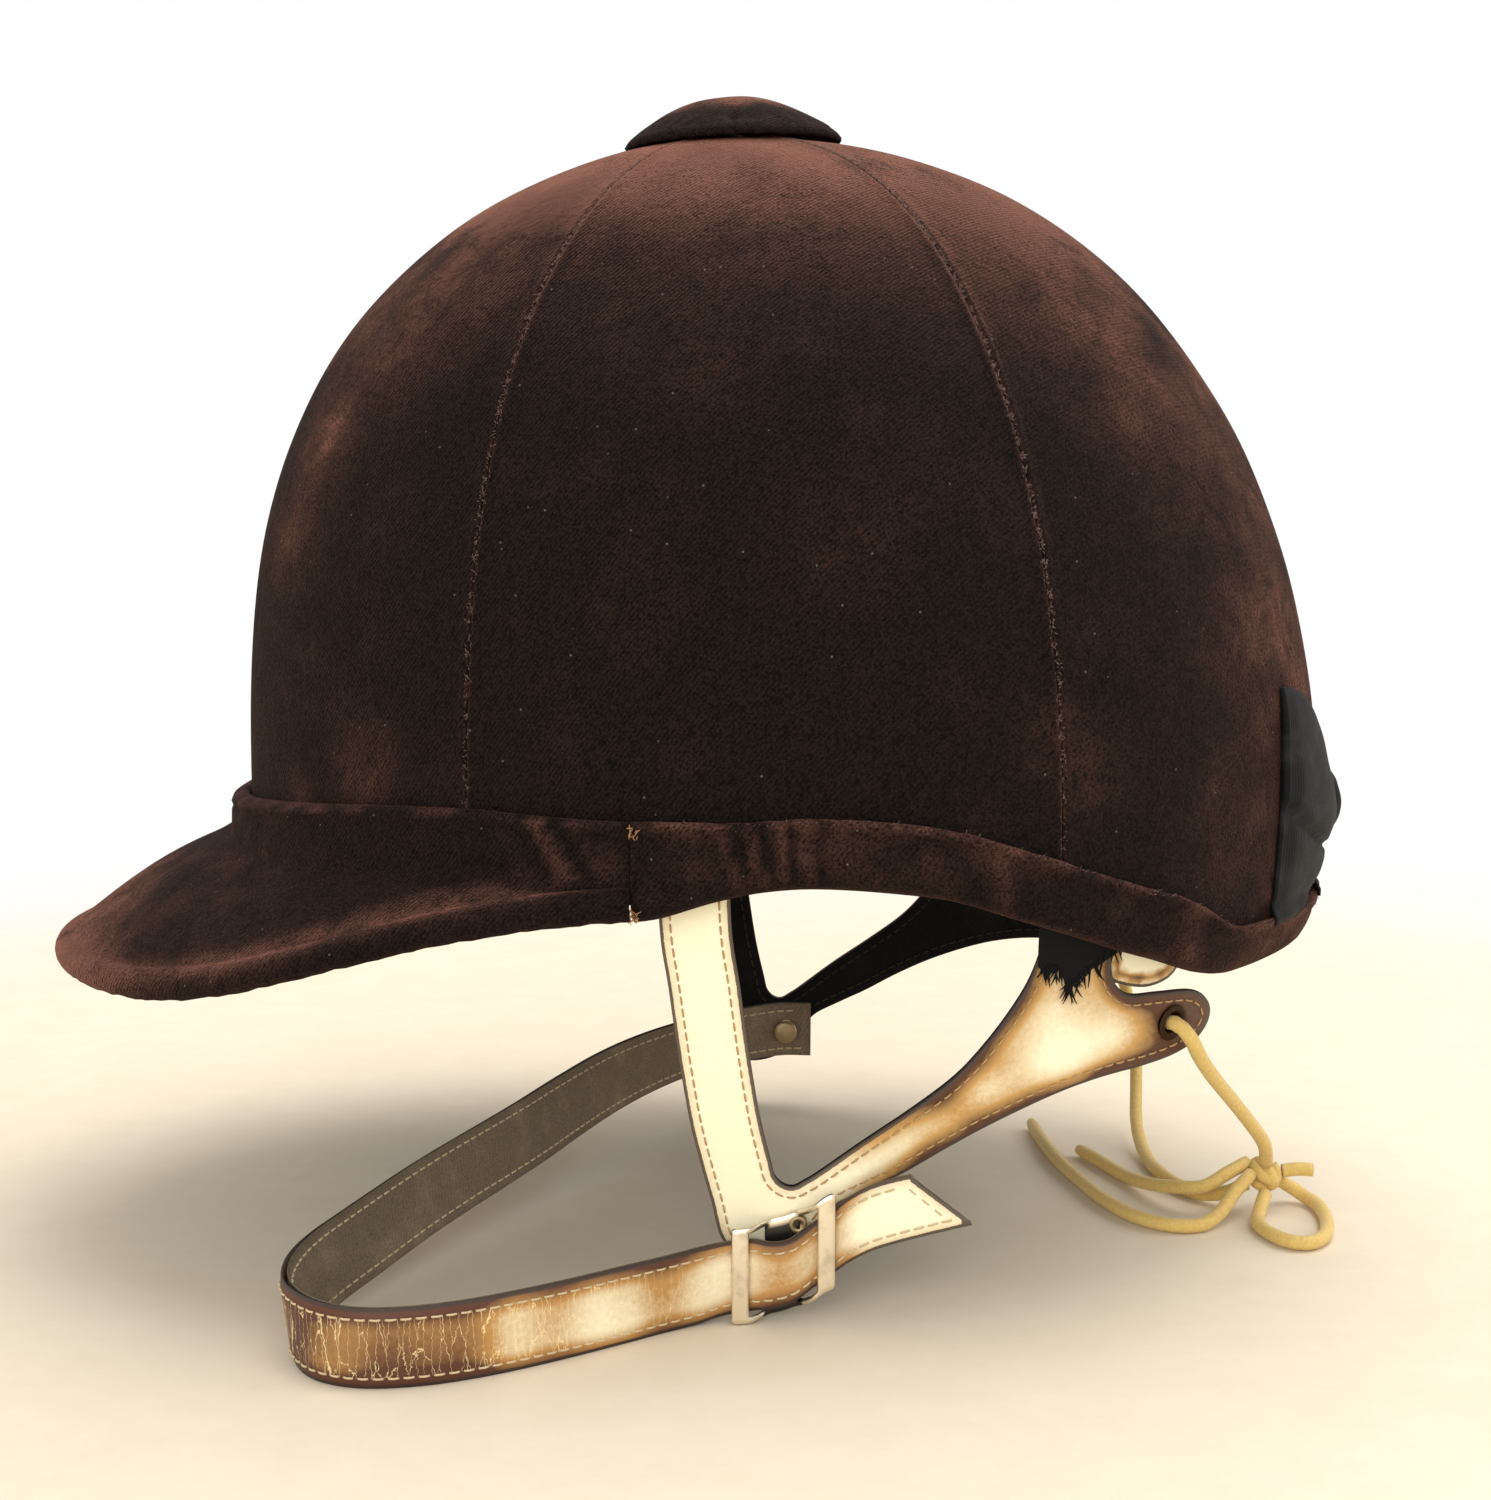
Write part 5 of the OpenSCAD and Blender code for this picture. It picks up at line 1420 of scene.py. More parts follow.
def cutPiece(name, outline, place, depths, material, node, slot, grid, rounding, holes=(), burn=None,
             groove=None, edgeStep=0.9):
    # place(u, v, depth) gives a point; depths are the outer and the inner depth
    line = evenLine(np.asarray(outline, float), max(12, int(lineLength(outline, True) / edgeStep)), True)
    if signedArea(line) < 0:
        line = line[::-1]
    loops, more = [line], [insetLine(line, rounding)]
    around = [np.array((math.cos(a), math.sin(a))) for a in (-2 * math.pi * k / 24 for k in range(24))]
    for centre, radius in holes:
        loops.append(np.array([centre + radius * way for way in around]))
        more.append(np.array([centre + (radius + rounding * 0.6) * way for way in around]))
    low, high = line.min(axis=0), line.max(axis=0)
    xs = np.arange(low[0], high[0] + grid, grid)
    ys = np.arange(low[1], high[1] + grid, grid * 0.87)
    inner = np.array([(x + (grid / 2 if j % 2 else 0), y) for j, y in enumerate(ys) for x in xs])
    more.append(freePoints(inner, loops, rounding + 0.55, rounding + 0.45))
    if groove:
        track = insetLine(line, groove)
        more.append(track[edgeDistance(track, line) > rounding + 0.5])
    flat, used, away = cutFlat(loops, more)
    nearest = np.min(away, axis=0)
    points = []
    for p, d, edge in zip(flat, nearest, away[0]):
        dent = 0.18 * math.exp(-((edge - groove) / 0.4) ** 2) if groove else 0
        points.append(place(*p, depths[0] + roundedEdge(d, rounding) + dent))
    points += [place(*p, depths[1] - roundedEdge(d, rounding)) for p, d in zip(flat, nearest)]
    # the triangles face outwards, also where a piece is a mirror of another
    a, b, c = (Vector(points[i]) for i in used[0])
    if (b - a).cross(c - a).dot(Vector(place(*flat[used[0][0]], depths[0] - 1)) - a) < 0:
        used = [t[::-1] for t in used]
    masks = {"edge": list(away[0]) * 2}
    if burn:
        masks["burn"] = [burn(*p, d) for p, d in zip(flat, away[0])] * 2
    makePiece(name, points, thickFaces(used, len(flat)), material, [(*p, 0) for p in flat] * 2, masks,
              replaces=[node], slot=slot)
    return line


def archedStitch(at, radius, sides=6):
    # at(t) gives the stitch's middle line for t from -1 to 1
    return tubeMesh([at(2 * t - 1) for t in shares(4)], radius, sides)


def stitchTrack(track, place, depth, pitch, length, radius, rise):
    # Small arched stitches along an open line of (u, v)
    total = lineLength(track)
    count = max(2, int(total / pitch))
    marks = evenLine(track, count * 4)
    parts = []
    for k in range(count):
        a = marks[k * 4]
        b = marks[min(k * 4 + 2, len(marks) - 1)]
        size = np.linalg.norm(b - a)
        if total / (count * 4) * 0.8 <= size <= pitch * 1.2:
            middle, half = (a + b) / 2, (b - a) / size * length / 2
            parts.append(archedStitch(lambda t: place(*(middle + half * t), depth - rise * (1 - t * t)
                                                      + radius * 0.9 * t * t), radius))
    return joined(parts)


def addStitches(name, parts, material, slot, body=cap):
    return makePiece(name, *joined(parts), material, body=body, slot=slot)


# Harness surface, as in the part's source
harness = {
    "run": crown["halfLength"] - strapOut, "half": crown["halfWidth"] - strapOut, "lean": 0.17,
    "leather": 1.4, "suede": 1.0, "gap": 0.2, "tape": 0.5, "pivot": (2.0, -72.0), "pivotRadius": 1.5,
    "eyelet": (81.0, -35.5), "eyeletBore": 2.4, "eyeletWall": 0.8,
    "frontEdge": [(-26, 13), (-25.7, -9), (-24, -22), (-22.2, -36), (-20, -50), (-17.7, -60), (-15.6, -68),
                  (-13.6, -76)],
    "end": [(-9, -80.5), (-3, -80.5), (3, -77.8), (6.5, -73)],
    "rearLow": [(10, -68.6), (17, -65), (24, -61.6), (33, -56.6), (43, -51.8), (55, -47.3), (65, -45),
                (75, -44)],
    "flap": [(82, -43), (87, -41.2), (90.2, -38), (90.8, -34.4), (88.6, -31), (84.4, -29), (77, -28.2),
             (70, -27.4)],
    "rearTop": [(66.5, -23), (65.5, -14), (66.6, 0), (66.8, 4.5), (52.6, 7.5), (52, -4), (51, -14)],
    "rearHigh": [(48.6, -21.6), (44.6, -28.4), (39.4, -35.3), (33.6, -41.5), (25.4, -47.7), (15, -54.8),
                 (6, -61.4)],
    "crotch": [(3.2, -63.2), (0.9, -64.4), (-1.4, -63.7), (-2.9, -61.8)],
    "stitchInset": 2.2, "stitchPitch": 2.5, "stitchLength": 1.7, "stitchRadius": 0.2,
    # short tongue behind the flap
    "tab": [(66, 2), (66, -10), (66, -23), (69, -25.6), (74, -27), (77.6, -26.8), (80.6, -25.6),
            (82.4, -23.2), (83, -18), (82, -2)],
    "tabInset": 2.1,
}


def roundness(share):
    return math.sqrt(max(0.02, 1 - share ** 2))


def harnessY(x, z, depth):
    if z > 0:
        inset = strapOut + depth
        k = narrowing(90, z, inset)
        lean = crown["apexShift"] * (z / crown["height"]) ** 2
        return (crown["halfWidth"] - inset) * k * roundness((x - lean) / (k * (crown["halfLength"] - inset)))
    return (harness["half"] - depth) * roundness(x / harness["run"]) + harness["lean"] * z


def harnessPlace(side):
    # side is -1 on the wearer's left
    return lambda u, v, depth: np.array((u, side * harnessY(u, v, depth), v))


def vOutline():
    h = harness
    low = h["frontEdge"] + h["end"] + h["rearLow"] + h["flap"]
    back = [(x + 14.2, z + 0.8) for x, z in h["frontEdge"][:6]][::-1]
    points = low + h["rearTop"] + h["rearHigh"] + h["crotch"] + back
    return smoothOutline(points, {0, len(points) - 1, len(low) + 3, len(low) + 4})


def burnHarness(x, z, d):
    # Browner on the flap, along the edges of the rear strap, at the crotch and at the low end; a painted highlight
    # keeps a streak down the middle of the rear strap pale
    rear = ease((x - 6) / 26) * ease((-z - 12) / 12)
    edges = rear * 0.42 * max(0, 1 - d / 8.5) ** 1.2
    flap = (ease((x - 62) / 24) * 0.24 + ease((x - 74) / 12) * 0.42) * ease((-z - 14) / 12)
    hole = 0.3 * math.exp(-(math.dist((x, z), harness["eyelet"]) / 5.5) ** 2)
    tongue = 0.3 * max(0, 1 - d / 3) * ease((x - 60) / 6)
    end = 0.16 * ease((-z - 68) / 12)
    # painted highlight: the burn fades down the middle of the rear strap
    paintedHighlight = 1 - 0.75 * math.exp(-((x - 57) / 9) ** 2 - (z + 39) ** 2 / 90)
    return rear * (0.38 + 0.24 * lumps((x, z, 9), 9)) * paintedHighlight + edges + flap + hole + tongue + end - 0.02


def burnTab(x, z, d):
    return 0.05 + 0.6 * math.exp(-((d - harness["tabInset"]) / 0.6) ** 2) * (0.8 + 0.6 * lumps((x, z, 1), 3))


def partsOfTrack(track, test):
    # The stretches of a closed track whose points pass a test
    flags = [bool(test(p)) for p in track]
    start = flags.index(False)
    parts = [[]]
    for p, good in zip(np.roll(track, -start, axis=0), flags[start:] + flags[:start]):
        if good:
            parts[-1].append(p)
        elif parts[-1]:
            parts.append([])
    return [np.array(part) for part in parts if len(part) > 6]


def cutHarness(side, label, leatherNode, liningNode, tabNode):
    h = harness
    place = harnessPlace(side)
    holes = [(h["pivot"], h["pivotRadius"] + 0.05), (h["eyelet"], h["eyeletBore"] + h["eyeletWall"])]
    lining = h["leather"] + h["gap"]
    outline = vOutline()[::-side]
    line = cutPiece("harness" + label, outline, place, (0, h["leather"]), harnessLeather, leatherNode,
                    "harness_leather", 1.5, 0.5, holes, burnHarness, h["stitchInset"])
    cutPiece("harnessLining" + label, outline, place, (lining, lining + h["suede"]), suedeBlack, liningNode,
             "suede", 2.2, 0.3, holes)
    tracks = partsOfTrack(insetLine(line, h["stitchInset"]),
                          lambda p: p[1] < 2 and math.dist(p, h["eyelet"]) > 4.6)
    for name, depth, rise, thread, slot in (
            ("harnessThread", 0.05, 0.26, threadTan, "harness_leather"),
            ("harnessThreadInner", lining + h["suede"] - 0.05, -0.3, threadBlack, "suede")):
        addStitches(name + label, [stitchTrack(track, place, depth, h["stitchPitch"], h["stitchLength"],
                                               h["stitchRadius"], rise) for track in tracks], thread, slot)
    depth = lining + h["suede"] + h["gap"]
    outline = smoothOutline(h["tab"], {0, 9}, 4)[::-side]
    cutPiece("rearTab" + label, outline, place, (depth, depth + h["leather"]), harnessLeather, tabNode,
             "harness_leather", 1.5, 0.4, (), burnTab, h["tabInset"])


cutHarness(-1, "Left", "harness_left", "harness_left_lining", "rear_tab_left")
cutHarness(1, "Right", "harness_right", "harness_right_lining", "rear_tab_right")
print("harness cut")


# Torn black tape under the rim, with loose threads
tape = {
    "outline": [(50, 2), (50, -9), (50, -19), (51.6, -20.2), (54.6, -19.8), (56.2, -24.2), (58.1, -23.8),
                (59.5, -21.6), (61.9, -20.6), (67.3, -17.6), (69.5, -13), (70, -6), (68, 2)],
    "corners": {0, 2, 5, 12}, "proud": 0.15, "threads": 54,
    # where the threads hang from, and how their radius runs out
    "tornEdge": [(50, -19), (54.6, -20), (57, -23.6), (62, -20), (69.5, -13.4)],
    "thinning": [0.3, 0.28, 0.24, 0.2, 0.14, 0.06],
}


def makeTape():
    place = harnessPlace(-1)
    depths = (-tape["proud"] - harness["tape"], -tape["proud"])
    cutPiece("frayedTape", smoothOutline(tape["outline"], tape["corners"], 3), place, depths, tapeCloth,
             "frayed_tape", "tape", 1.6, 0.15, edgeStep=0.7)
    random.seed(7)
    parts = []
    for _ in range(tape["threads"]):
        x = random.uniform(50.5, 69)
        z = float(np.interp(x, *zip(*tape["tornEdge"])))
        bend = random.uniform(-2.2, 2.2)
        drop = random.uniform(1.2, 4.6)
        depth = -random.uniform(0.15, 0.5)
        line = [place(x + bend * t * t, z + 1 - (drop + 1) * t, depth - 0.5 * math.sin(t * 2.5))
                for t in shares(5)]
        parts.append(tubeMesh(line, tape["thinning"], 4))
    addStitches("frayedThreads", parts, tapeCloth, "tape")


makeTape()
print("tape frayed")


# Chin strap: the route of the part's source. Each row: x, y, z from the rivets' axis, narrowing, tilt.
strap = {
    "width": 15.7, "taper": 2.3, "leather": 1.3, "backing": 0.9, "drawnGap": 85.0, "step": 1.5,
    "stitchInset": 2.1, "stitchPitch": 2.9, "stitchLength": 2.0, "stitchRadius": 0.22, "edge": 0.5,
    "rows": 17, "freeEnd": 31, "bendOut": 0.6,
    # where the two rows of stitches start, and the shares across of those on the slanted end
    "firstStitches": ((1, 16.5), (-1, 4.5)), "crossStitches": (-0.22, -0.02, 0.18),
    "route": [
        (37, -91.6, 8.4, 1, 0), (27, -90.6, 5.6, 1, 0), (18, -89.6, 2.8, 0.9, 0), (12.5, -89, -0.2, 0.9, 0),
        (9.5, -89, -2.6, 1, 0), (5.6, -89, -5.6, 1, 0), (1, -91, -8.4, 1, 0), (-3.6, -91, -9.5, 0.8, 0),
        (-8, -89, -10, 0.3, 0), (-13.4, -89, -10.9, 0.2, 0), (-18, -91, -11.6, 0, 0),
        (-25, -95, -12.1, 0, 0), (-34, -101.7, -12.1, 0, 0), (-43, -108.3, -12.1, 0, 0),
        (-52, -114.2, -12.1, 0, 0), (-60.4, -119, -12.1, 0, 0), (-69, -122.4, -12.1, 0, 0),
        (-78, -124, -12.1, 0, 0), (-85, -123, -12.1, 0, 0), (-91.3, -119.3, -12.1, 0, 0),
        (-96, -113.3, -12.1, 0, 3), (-98.8, -106, -12, 0, 8), (-99.2, -97.5, -11.8, 0, 14),
        (-98, -88.5, -11.6, 0, 20), (-95.4, -79.5, -11.2, 0, 25), (-91.6, -69, -10.8, 0, 29),
        (-87, -56.5, -10.2, 0, 30), (-81.3, -43.5, -9, 0, 30), (-74.5, -30, -7.6, 0, 30),
        (-67.6, -16.5, -6.4, 0, 28), (-60.6, -2, -5.2, 0, 25), (-53.4, 15, -4, 0, 20),
        (-45.2, 33.5, -2.9, 0, 15), (-37, 48, -2, 0.1, 10), (-28, 60, -1.2, 0.3, 6),
        (-18, 70, -0.6, 0.5, 4), (-8, 77, -0.2, 0.6, 5), (1, 80.9, 0, 0.6, 6), (9, 80.6, 0, 0.6, 6)],
}
pivotX, pivotZ = harness["pivot"]
halfGap = harnessY(pivotX, pivotZ, 0)
strapLine = evenLine(curveThrough([(x, y * halfGap / strap["drawnGap"], z + pivotZ, w, tilt)
                                   for x, y, z, w, tilt in strap["route"]], 12), 900)
strapSteps = lengthsAlong(strapLine[:, :3])
strapLong = strapSteps[-1]
# the free end bends a little outwards, clear of the harness when the strap turns
strapLine[:, 1] -= strap["bendOut"] * np.array([ease((strap["freeEnd"] - step) / 15) for step in strapSteps])


def strapRow(along):
    # x, y, z, narrowing and tilt at a length along the strap
    return np.array([np.interp(along, strapSteps, strapLine[:, k]) for k in range(5)])


def strapWidth(along):
    return strap["width"] - strap["taper"] * strapRow(along)[3]


def strapPlace(along, across, depth):
    # across is in millimetres from the middle, upwards
    row = strapRow(along)
    d = (strapRow(min(strapLong, along + 1.5)) - strapRow(max(0, along - 1.5)))[:2]
    out = np.array((-d[1], d[0], 0)) / np.linalg.norm(d)
    tilt = math.radians(row[4])
    up = np.array((0, 0, math.cos(tilt))) + math.sin(tilt) * out
    inward = math.cos(tilt) * out - np.array((0, 0, math.sin(tilt)))
    return row[:3] + up * across - depth * inward


def strapStart(share):
    # The free end is cut on a slant: how far along a row starts, for a share from -0.5 to 0.5 across
    return between(0.2, 13.2, min(1, max(0, share + 0.5) / 0.96))


def strapBurn(along, share):
    # Cream on the free end, tan past the slide, browner to the front and at the bend
    front = 0.4 * ease((along - 20) / 16) + 0.38 * ease((along - 75) / 50) - 0.1 * ease((along - 185) / 40)
    bend = 0.16 * math.exp(-((along - 30) / 6) ** 2)
    cloudy = 0.45 * ease((along - 25) / 20) * lumps((along, share * 8, 4), 13)
    return front + bend + cloudy + 0.9 * ease((along - 20) / 20) * max(0, abs(share) - 0.28)


def strapLayer(name, depths, margin, material, node, slot, crackFrom):
    s = strap
    middle = [0.5 * (1 - math.cos(math.pi * (0.18 + 0.64 * t))) for t in shares(s["rows"] - 1)[1:-1]]
    offsets = [(o - 0.5) * (1 - margin) for o in [0] + middle + [1]][::-1]

    def cell(share, t):
        start = strapStart(share)
        along = between(start, strapLong, t)
        width = strapWidth(along)
        across = width * share
        near = width * 0.5 * (1 - margin) - abs(across)
        ends = min(along - start, strapLong - along) if share > -0.4 else along - start
        d = min(near, ends)
        sink = roundedEdge(d, s["edge"])
        dent = 0.14 * math.exp(-((near - s["stitchInset"]) / 0.45) ** 2)
        soft = 0.12 * lumps((along, across, 2), 13) if depths[0] == 0 else 0
        return (strapPlace(along, across, depths[0] + sink + dent + soft),
                strapPlace(along, across, depths[1] - sink), (along, across, 0), d, strapBurn(along, share),
                ease((along - crackFrom) / 30))

    points, faces, flow, edge, burn, crack = slabOf(offsets, shares(int(strapLong / s["step"])), cell)
    masks = {"edge": edge * 2, "burn": burn * 2, "crack": crack * 2}
    return makePiece(name, points, faces, material, flow * 2, masks, swing, [node], slot)


def strapStitches(name, depth, rise, slot, bareUpTo=0):
    s = strap
    half = s["stitchLength"] / 2
    parts = []
    for side, along in s["firstStitches"]:
        while along < strapLong - 4:
            middle = along + half
            if along >= bareUpTo:
                across = side * (strapWidth(middle) / 2 - s["stitchInset"])
                parts.append(archedStitch(lambda t: strapPlace(
                    middle + t * half, across, depth - rise * (1 - t * t)), s["stitchRadius"]))
            along += s["stitchPitch"]
    for share in () if bareUpTo else s["crossStitches"]:
        base = strapStart(share) + 2.6
        run = strapStart(share + 0.1) - strapStart(share)
        parts.append(archedStitch(lambda t: strapPlace(
            base + run * (t + 1) / 2, s["width"] * (share + 0.05 * (t + 1)) * 0.9,
            depth - rise * (1 - t * t)), s["stitchRadius"]))
    addStitches(name, parts, threadCream, slot, swing)


backDepth = strap["leather"] + 0.1
backFace = backDepth + strap["backing"]
strapLayer("chinStrap", (0, strap["leather"]), 0, strapLeather, "chin_strap", "strap_leather", 48)
strapLayer("chinStrapBacking", (backDepth, backFace), 0.02, suedeGrey, "chin_strap_backing", "suede", 1000)
strapStitches("chinThread", 0.1, 0.26, "strap_leather")
strapStitches("chinThreadInner", backFace - 0.1, -0.26, "suede", 62)
print("chin strap sewn")


# Slide: one stamped plate, two bars in front of the strap and a curved middle behind it
slide = {
    "left": -11.6, "low": -91.8, "long": 21.0, "high": 20.1, "bar": 3.4, "bend": 2.4, "sheet": 1.0,
    "back": halfGap + 0.8, "front": 89.4 * halfGap / strap["drawnGap"], "frame": 1.3, "corner": 0.9,
    "rounding": 0.32, "sink": 0.3,
    "rise": [(0, 0), (9.6, 1.4), (14, 3), (21, 7.4)],
}


def slideY(t, v):
    # the rails above and below the slots bend back more slowly than the plate
    s = slide
    rail = ease((abs(v - s["high"] / 2) - s["high"] / 2 + s["frame"] + 0.5) / 0.7)
    bend = s["bend"] * (1 + 1.1 * rail)
    lean = ease((t - s["bar"]) / bend) * (1 - ease((t - (s["long"] - s["bar"] - bend)) / bend))
    return between(s["front"], s["back"], lean)


def slidePlace(u, v, depth):
    # u along the strap, v up from the slide's lower edge; depth inwards from the plate's front
    s = slide
    bulge = 0.09 * math.cos(math.pi * (v / s["high"] - 0.5)) if 0 < v < s["high"] else 0
    return np.array((s["left"] + u, -slideY(u, v) - s["sheet"] + depth - bulge,
                     s["low"] + smoothLookup(u, s["rise"]) + v))


def box(left, low, right, high):
    return np.array([(left, low), (left, high), (right, high), (right, low)])


def makeSlide():
    s = slide
    r = s["corner"]
    outline = []
    for cx, cv, start in ((r, r, 180), (s["long"] - r, r, 270), (s["long"] - r, s["high"] - r, 0),
                          (r, s["high"] - r, 90)):
        outline += [(cx + r * math.cos(a), cv + r * math.sin(a))
                    for a in (math.radians(start + 15 * k) for k in range(7))]
    line = evenLine(np.array(outline), 190, True)
    loops, more = [line], [insetLine(line, s["sink"])]
    near = s["bar"] + s["bend"] + 1.0
    for a, b in ((s["bar"] + 0.2, near), (s["long"] - near, s["long"] - s["bar"] - 0.2)):
        low, high = s["frame"], s["high"] - s["frame"]
        loops.append(evenLine(box(a, low, b, high), 90, True))
        more.append(evenLine(box(a - 0.25, low - 0.25, b + 0.25, high + 0.25), 94, True))
    grid = np.array([(x, y) for x in np.arange(0.4, s["long"], 0.42) for y in np.arange(0.4, s["high"], 0.8)])
    more.append(freePoints(grid, loops, 0.5, 0.45))
    flat, used, away = cutFlat(loops, more)
    sinks = [s["sink"] / s["rounding"] * roundedEdge(d, s["rounding"]) for d in np.min(away, axis=0)]
    points = [slidePlace(*p, sink) for p, sink in zip(flat, sinks)]
    points += [slidePlace(*p, s["sheet"] - sink) for p, sink in zip(flat, sinks)]
    # painted shade on the middle of the plate behind the strap, below its top rail
    dark = [float(near - 0.2 < x < s["long"] - near + 0.2 and y < s["high"] - 1.5) for x, y in flat] * 2
    makePiece("strapSlide", points, thickFaces(used, len(flat)), nickelSlide, None, {"dark": dark}, swing,
              ["strap_slide"], "nickel")


makeSlide()


# Fittings turned on a lathe
def turned(name, parts, material, node, slot, body=cap):
    # parts: (profile of (radius, height), matrix), the matrix puts +Z along the fitting's axis
    steps = 40
    pieces = []
    for profile, matrix in parts:
        points = [matrix @ Vector((r * math.cos(a), r * math.sin(a), h))
                  for a in (2 * math.pi * k / steps for k in range(steps)) for r, h in profile]
        pieces.append((points, turnedFaces(steps, len(profile))))
    return makePiece(name, *joined(pieces), material, body=body, replaces=[node], slot=slot)


stack = harness["leather"] + harness["gap"] + harness["suede"]
roomy = 0.3 + harness["lean"] * 3.4


def makeRivets():
    # The near rivet goes from its curled end through the harness to a domed head, the far one the other way
    shank, head, wide = 1.5, 3.3, 3.2
    back = slide["back"] + slide["sheet"]
    strapIn = 80.9 * halfGap / strap["drawnGap"] - strap["leather"] - strap["backing"] - 1.5
    high = back - halfGap + stack + roomy
    near = [(0, 0), (shank * 0.55, 0), (shank * 0.62, -0.15), (shank, -0.25), (shank + 0.35, -0.1),
            (shank + 0.38, 0.15), (shank, 0.25), (shank, high), (head * 0.9, high), (head, high + 0.15),
            (head, high + 0.495), (head * 0.86, high + 0.81), (head * 0.5, high + 0.9), (0, high + 0.9)]
    high = halfGap + roomy - strapIn
    far = [(0, -0.9), (1.6, -0.9), (2.9, -0.62), (wide, -0.25), (3.15, 0), (shank, 0), (shank, high),
           (wide, high), (3.4, high + 0.2), (3.3, high + 0.6), (2.6, high + 0.9), (0, high + 0.9)]
    alongY = Matrix.Rotation(-math.pi / 2, 4, "X")
    turned("strapRivets", [(profile, Matrix.Translation((pivotX, y, pivotZ)) @ alongY)
                           for profile, y in ((near, -back), (far, strapIn))],
           rivetBrass, "strap_rivets", "nickel", swing)


def wallMatrix(place, side):
    x, z = place
    turn = math.atan2(roundness(x / harness["run"]) / harness["half"], x / harness["run"] ** 2)
    m = (Matrix.Translation((x, -harnessY(x, z, 0), z)) @ Matrix.Rotation(-turn, 4, "Z")
         @ Matrix.Rotation(math.pi / 2 + math.atan(harness["lean"]), 4, "Y"))
    return m if side < 0 else Matrix.Scale(-1, 4, (0, 1, 0)) @ m


makeRivets()
eyeletProfile = [(2.42, -stack - 0.45), (3.1, -stack - 0.5), (3.9, -stack - 0.3), (3.9, -stack - 0.1),
                 (3.2, -stack - 0.05), (3.2, 0.05), (3.95, 0.1), (4.0, 0.28), (3.5, 0.5), (2.9, 0.5),
                 (2.5, 0.3), (2.4, 0), (2.4, -stack), (2.42, -stack - 0.45)]
turned("laceEyelets", [(eyeletProfile, wallMatrix(harness["eyelet"], side)) for side in (-1, 1)], eyeletMetal,
       "lace_eyelets", "eyelet_metal")
print("fittings turned")


# Inside: foam liner, lining cloth and leather sweatband
inside = {"foamOut": shellIn + 0.8, "foam": 14.0, "lining": 0.8, "lift": 24.0, "bevel": 18.0, "hole": 13.0,
          "sweatHigh": 34.0, "sweat": 1.2, "rows": 26, "step": 4, "middle": -11.5, "sweatSteps": 150}
foamIn = inside["foamOut"] + inside["foam"]
liningOut = foamIn + 0.5
liningIn = liningOut + inside["lining"]
sweatLow = strapOut + harness["leather"] * 2 + harness["gap"] + harness["suede"] + 0.7
sweatTop = liningIn + 0.4


def linerPoint(share, a, inset, lift, ripple=0.0):
    if share > 1:
        # the cloth closes in the middle of the crown
        return outwards(a) * 1.5 + (inside["middle"], 0, crown["height"] - inset)
    low = rimHeight(a) + inside["lift"] + lift
    p = wallPoint(a, rowHeight(a, share, inset, low, inside["hole"]) if share else low, inset)
    return p + ripple * lumps(p, 14) * outwards(a)


def makeLiner():
    s = inside
    rows = shares(s["rows"])
    angles = [s["step"] * k for k in range(360 // s["step"])]
    foam = slabOf(rows, angles, lambda share, a: (
        linerPoint(share, a, s["foamOut"], 0), linerPoint(share, a, foamIn, s["bevel"])), True)
    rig.padded(makePiece("foamLiner", *foam, foamBoard, replaces=["foam_liner"], slot="foam"), 1.0)
    cloth = slabOf(rows + [2], angles, lambda share, a: (
        linerPoint(share, a, liningOut, s["bevel"], 0.2),
        linerPoint(share, a, liningIn, s["bevel"], 0.35)), True)
    makePiece("crownLining", *cloth, liningCloth, replaces=["crown_lining"], slot="lining_cloth")


def sweatPoint(a, share, depth):
    z = rimHeight(a) + 1 + inside["sweatHigh"] * share
    return wallPoint(a, z, between(sweatLow, sweatTop, share) + depth)


def makeSweatband():
    s = inside
    angles = [360 / s["sweatSteps"] * k for k in range(s["sweatSteps"])]

    def cell(share, a):
        edge = 0.45 * max(0, 1 - min(share, 1 - share) / 0.03)
        soft = 0.25 * lumps((a, share * 20, 0), 20)
        return sweatPoint(a, share, edge), sweatPoint(a, share, s["sweat"] - edge - soft)

    rows = [0, 0.012, 0.03] + [0.06 + 0.88 * k for k in shares(10)] + [0.97, 0.988, 1]
    makePiece("sweatband", *slabOf(rows, angles, cell, True), sweatLeather, replaces=["sweatband"],
              slot="sweatband_leather")
    parts = [archedStitch(lambda t: sweatPoint(a + 0.75 * (t + 1), 0.08, s["sweat"] + 0.2 - 0.3 * t * t),
                          0.28, 5) for a in angles]
    addStitches("sweatbandThread", parts, threadCream, "sweatband_leather")


makeLiner()
makeSweatband()
print("inside lined")


# Pale fuzz on the seams, and worn threads at the end of the front band
fuzzSettings = {
    # seams: angle, tufts of fuzz, stitches from the rim to the button
    "seams": [(crown["rearSeam"], 900, 74), (crown["frontSeam"], 500, 90),
              (360 - crown["rearSeam"], 900, 74), (360 - crown["frontSeam"], 500, 90)],
    "onBand": 420, "jointThreads": 44,
}


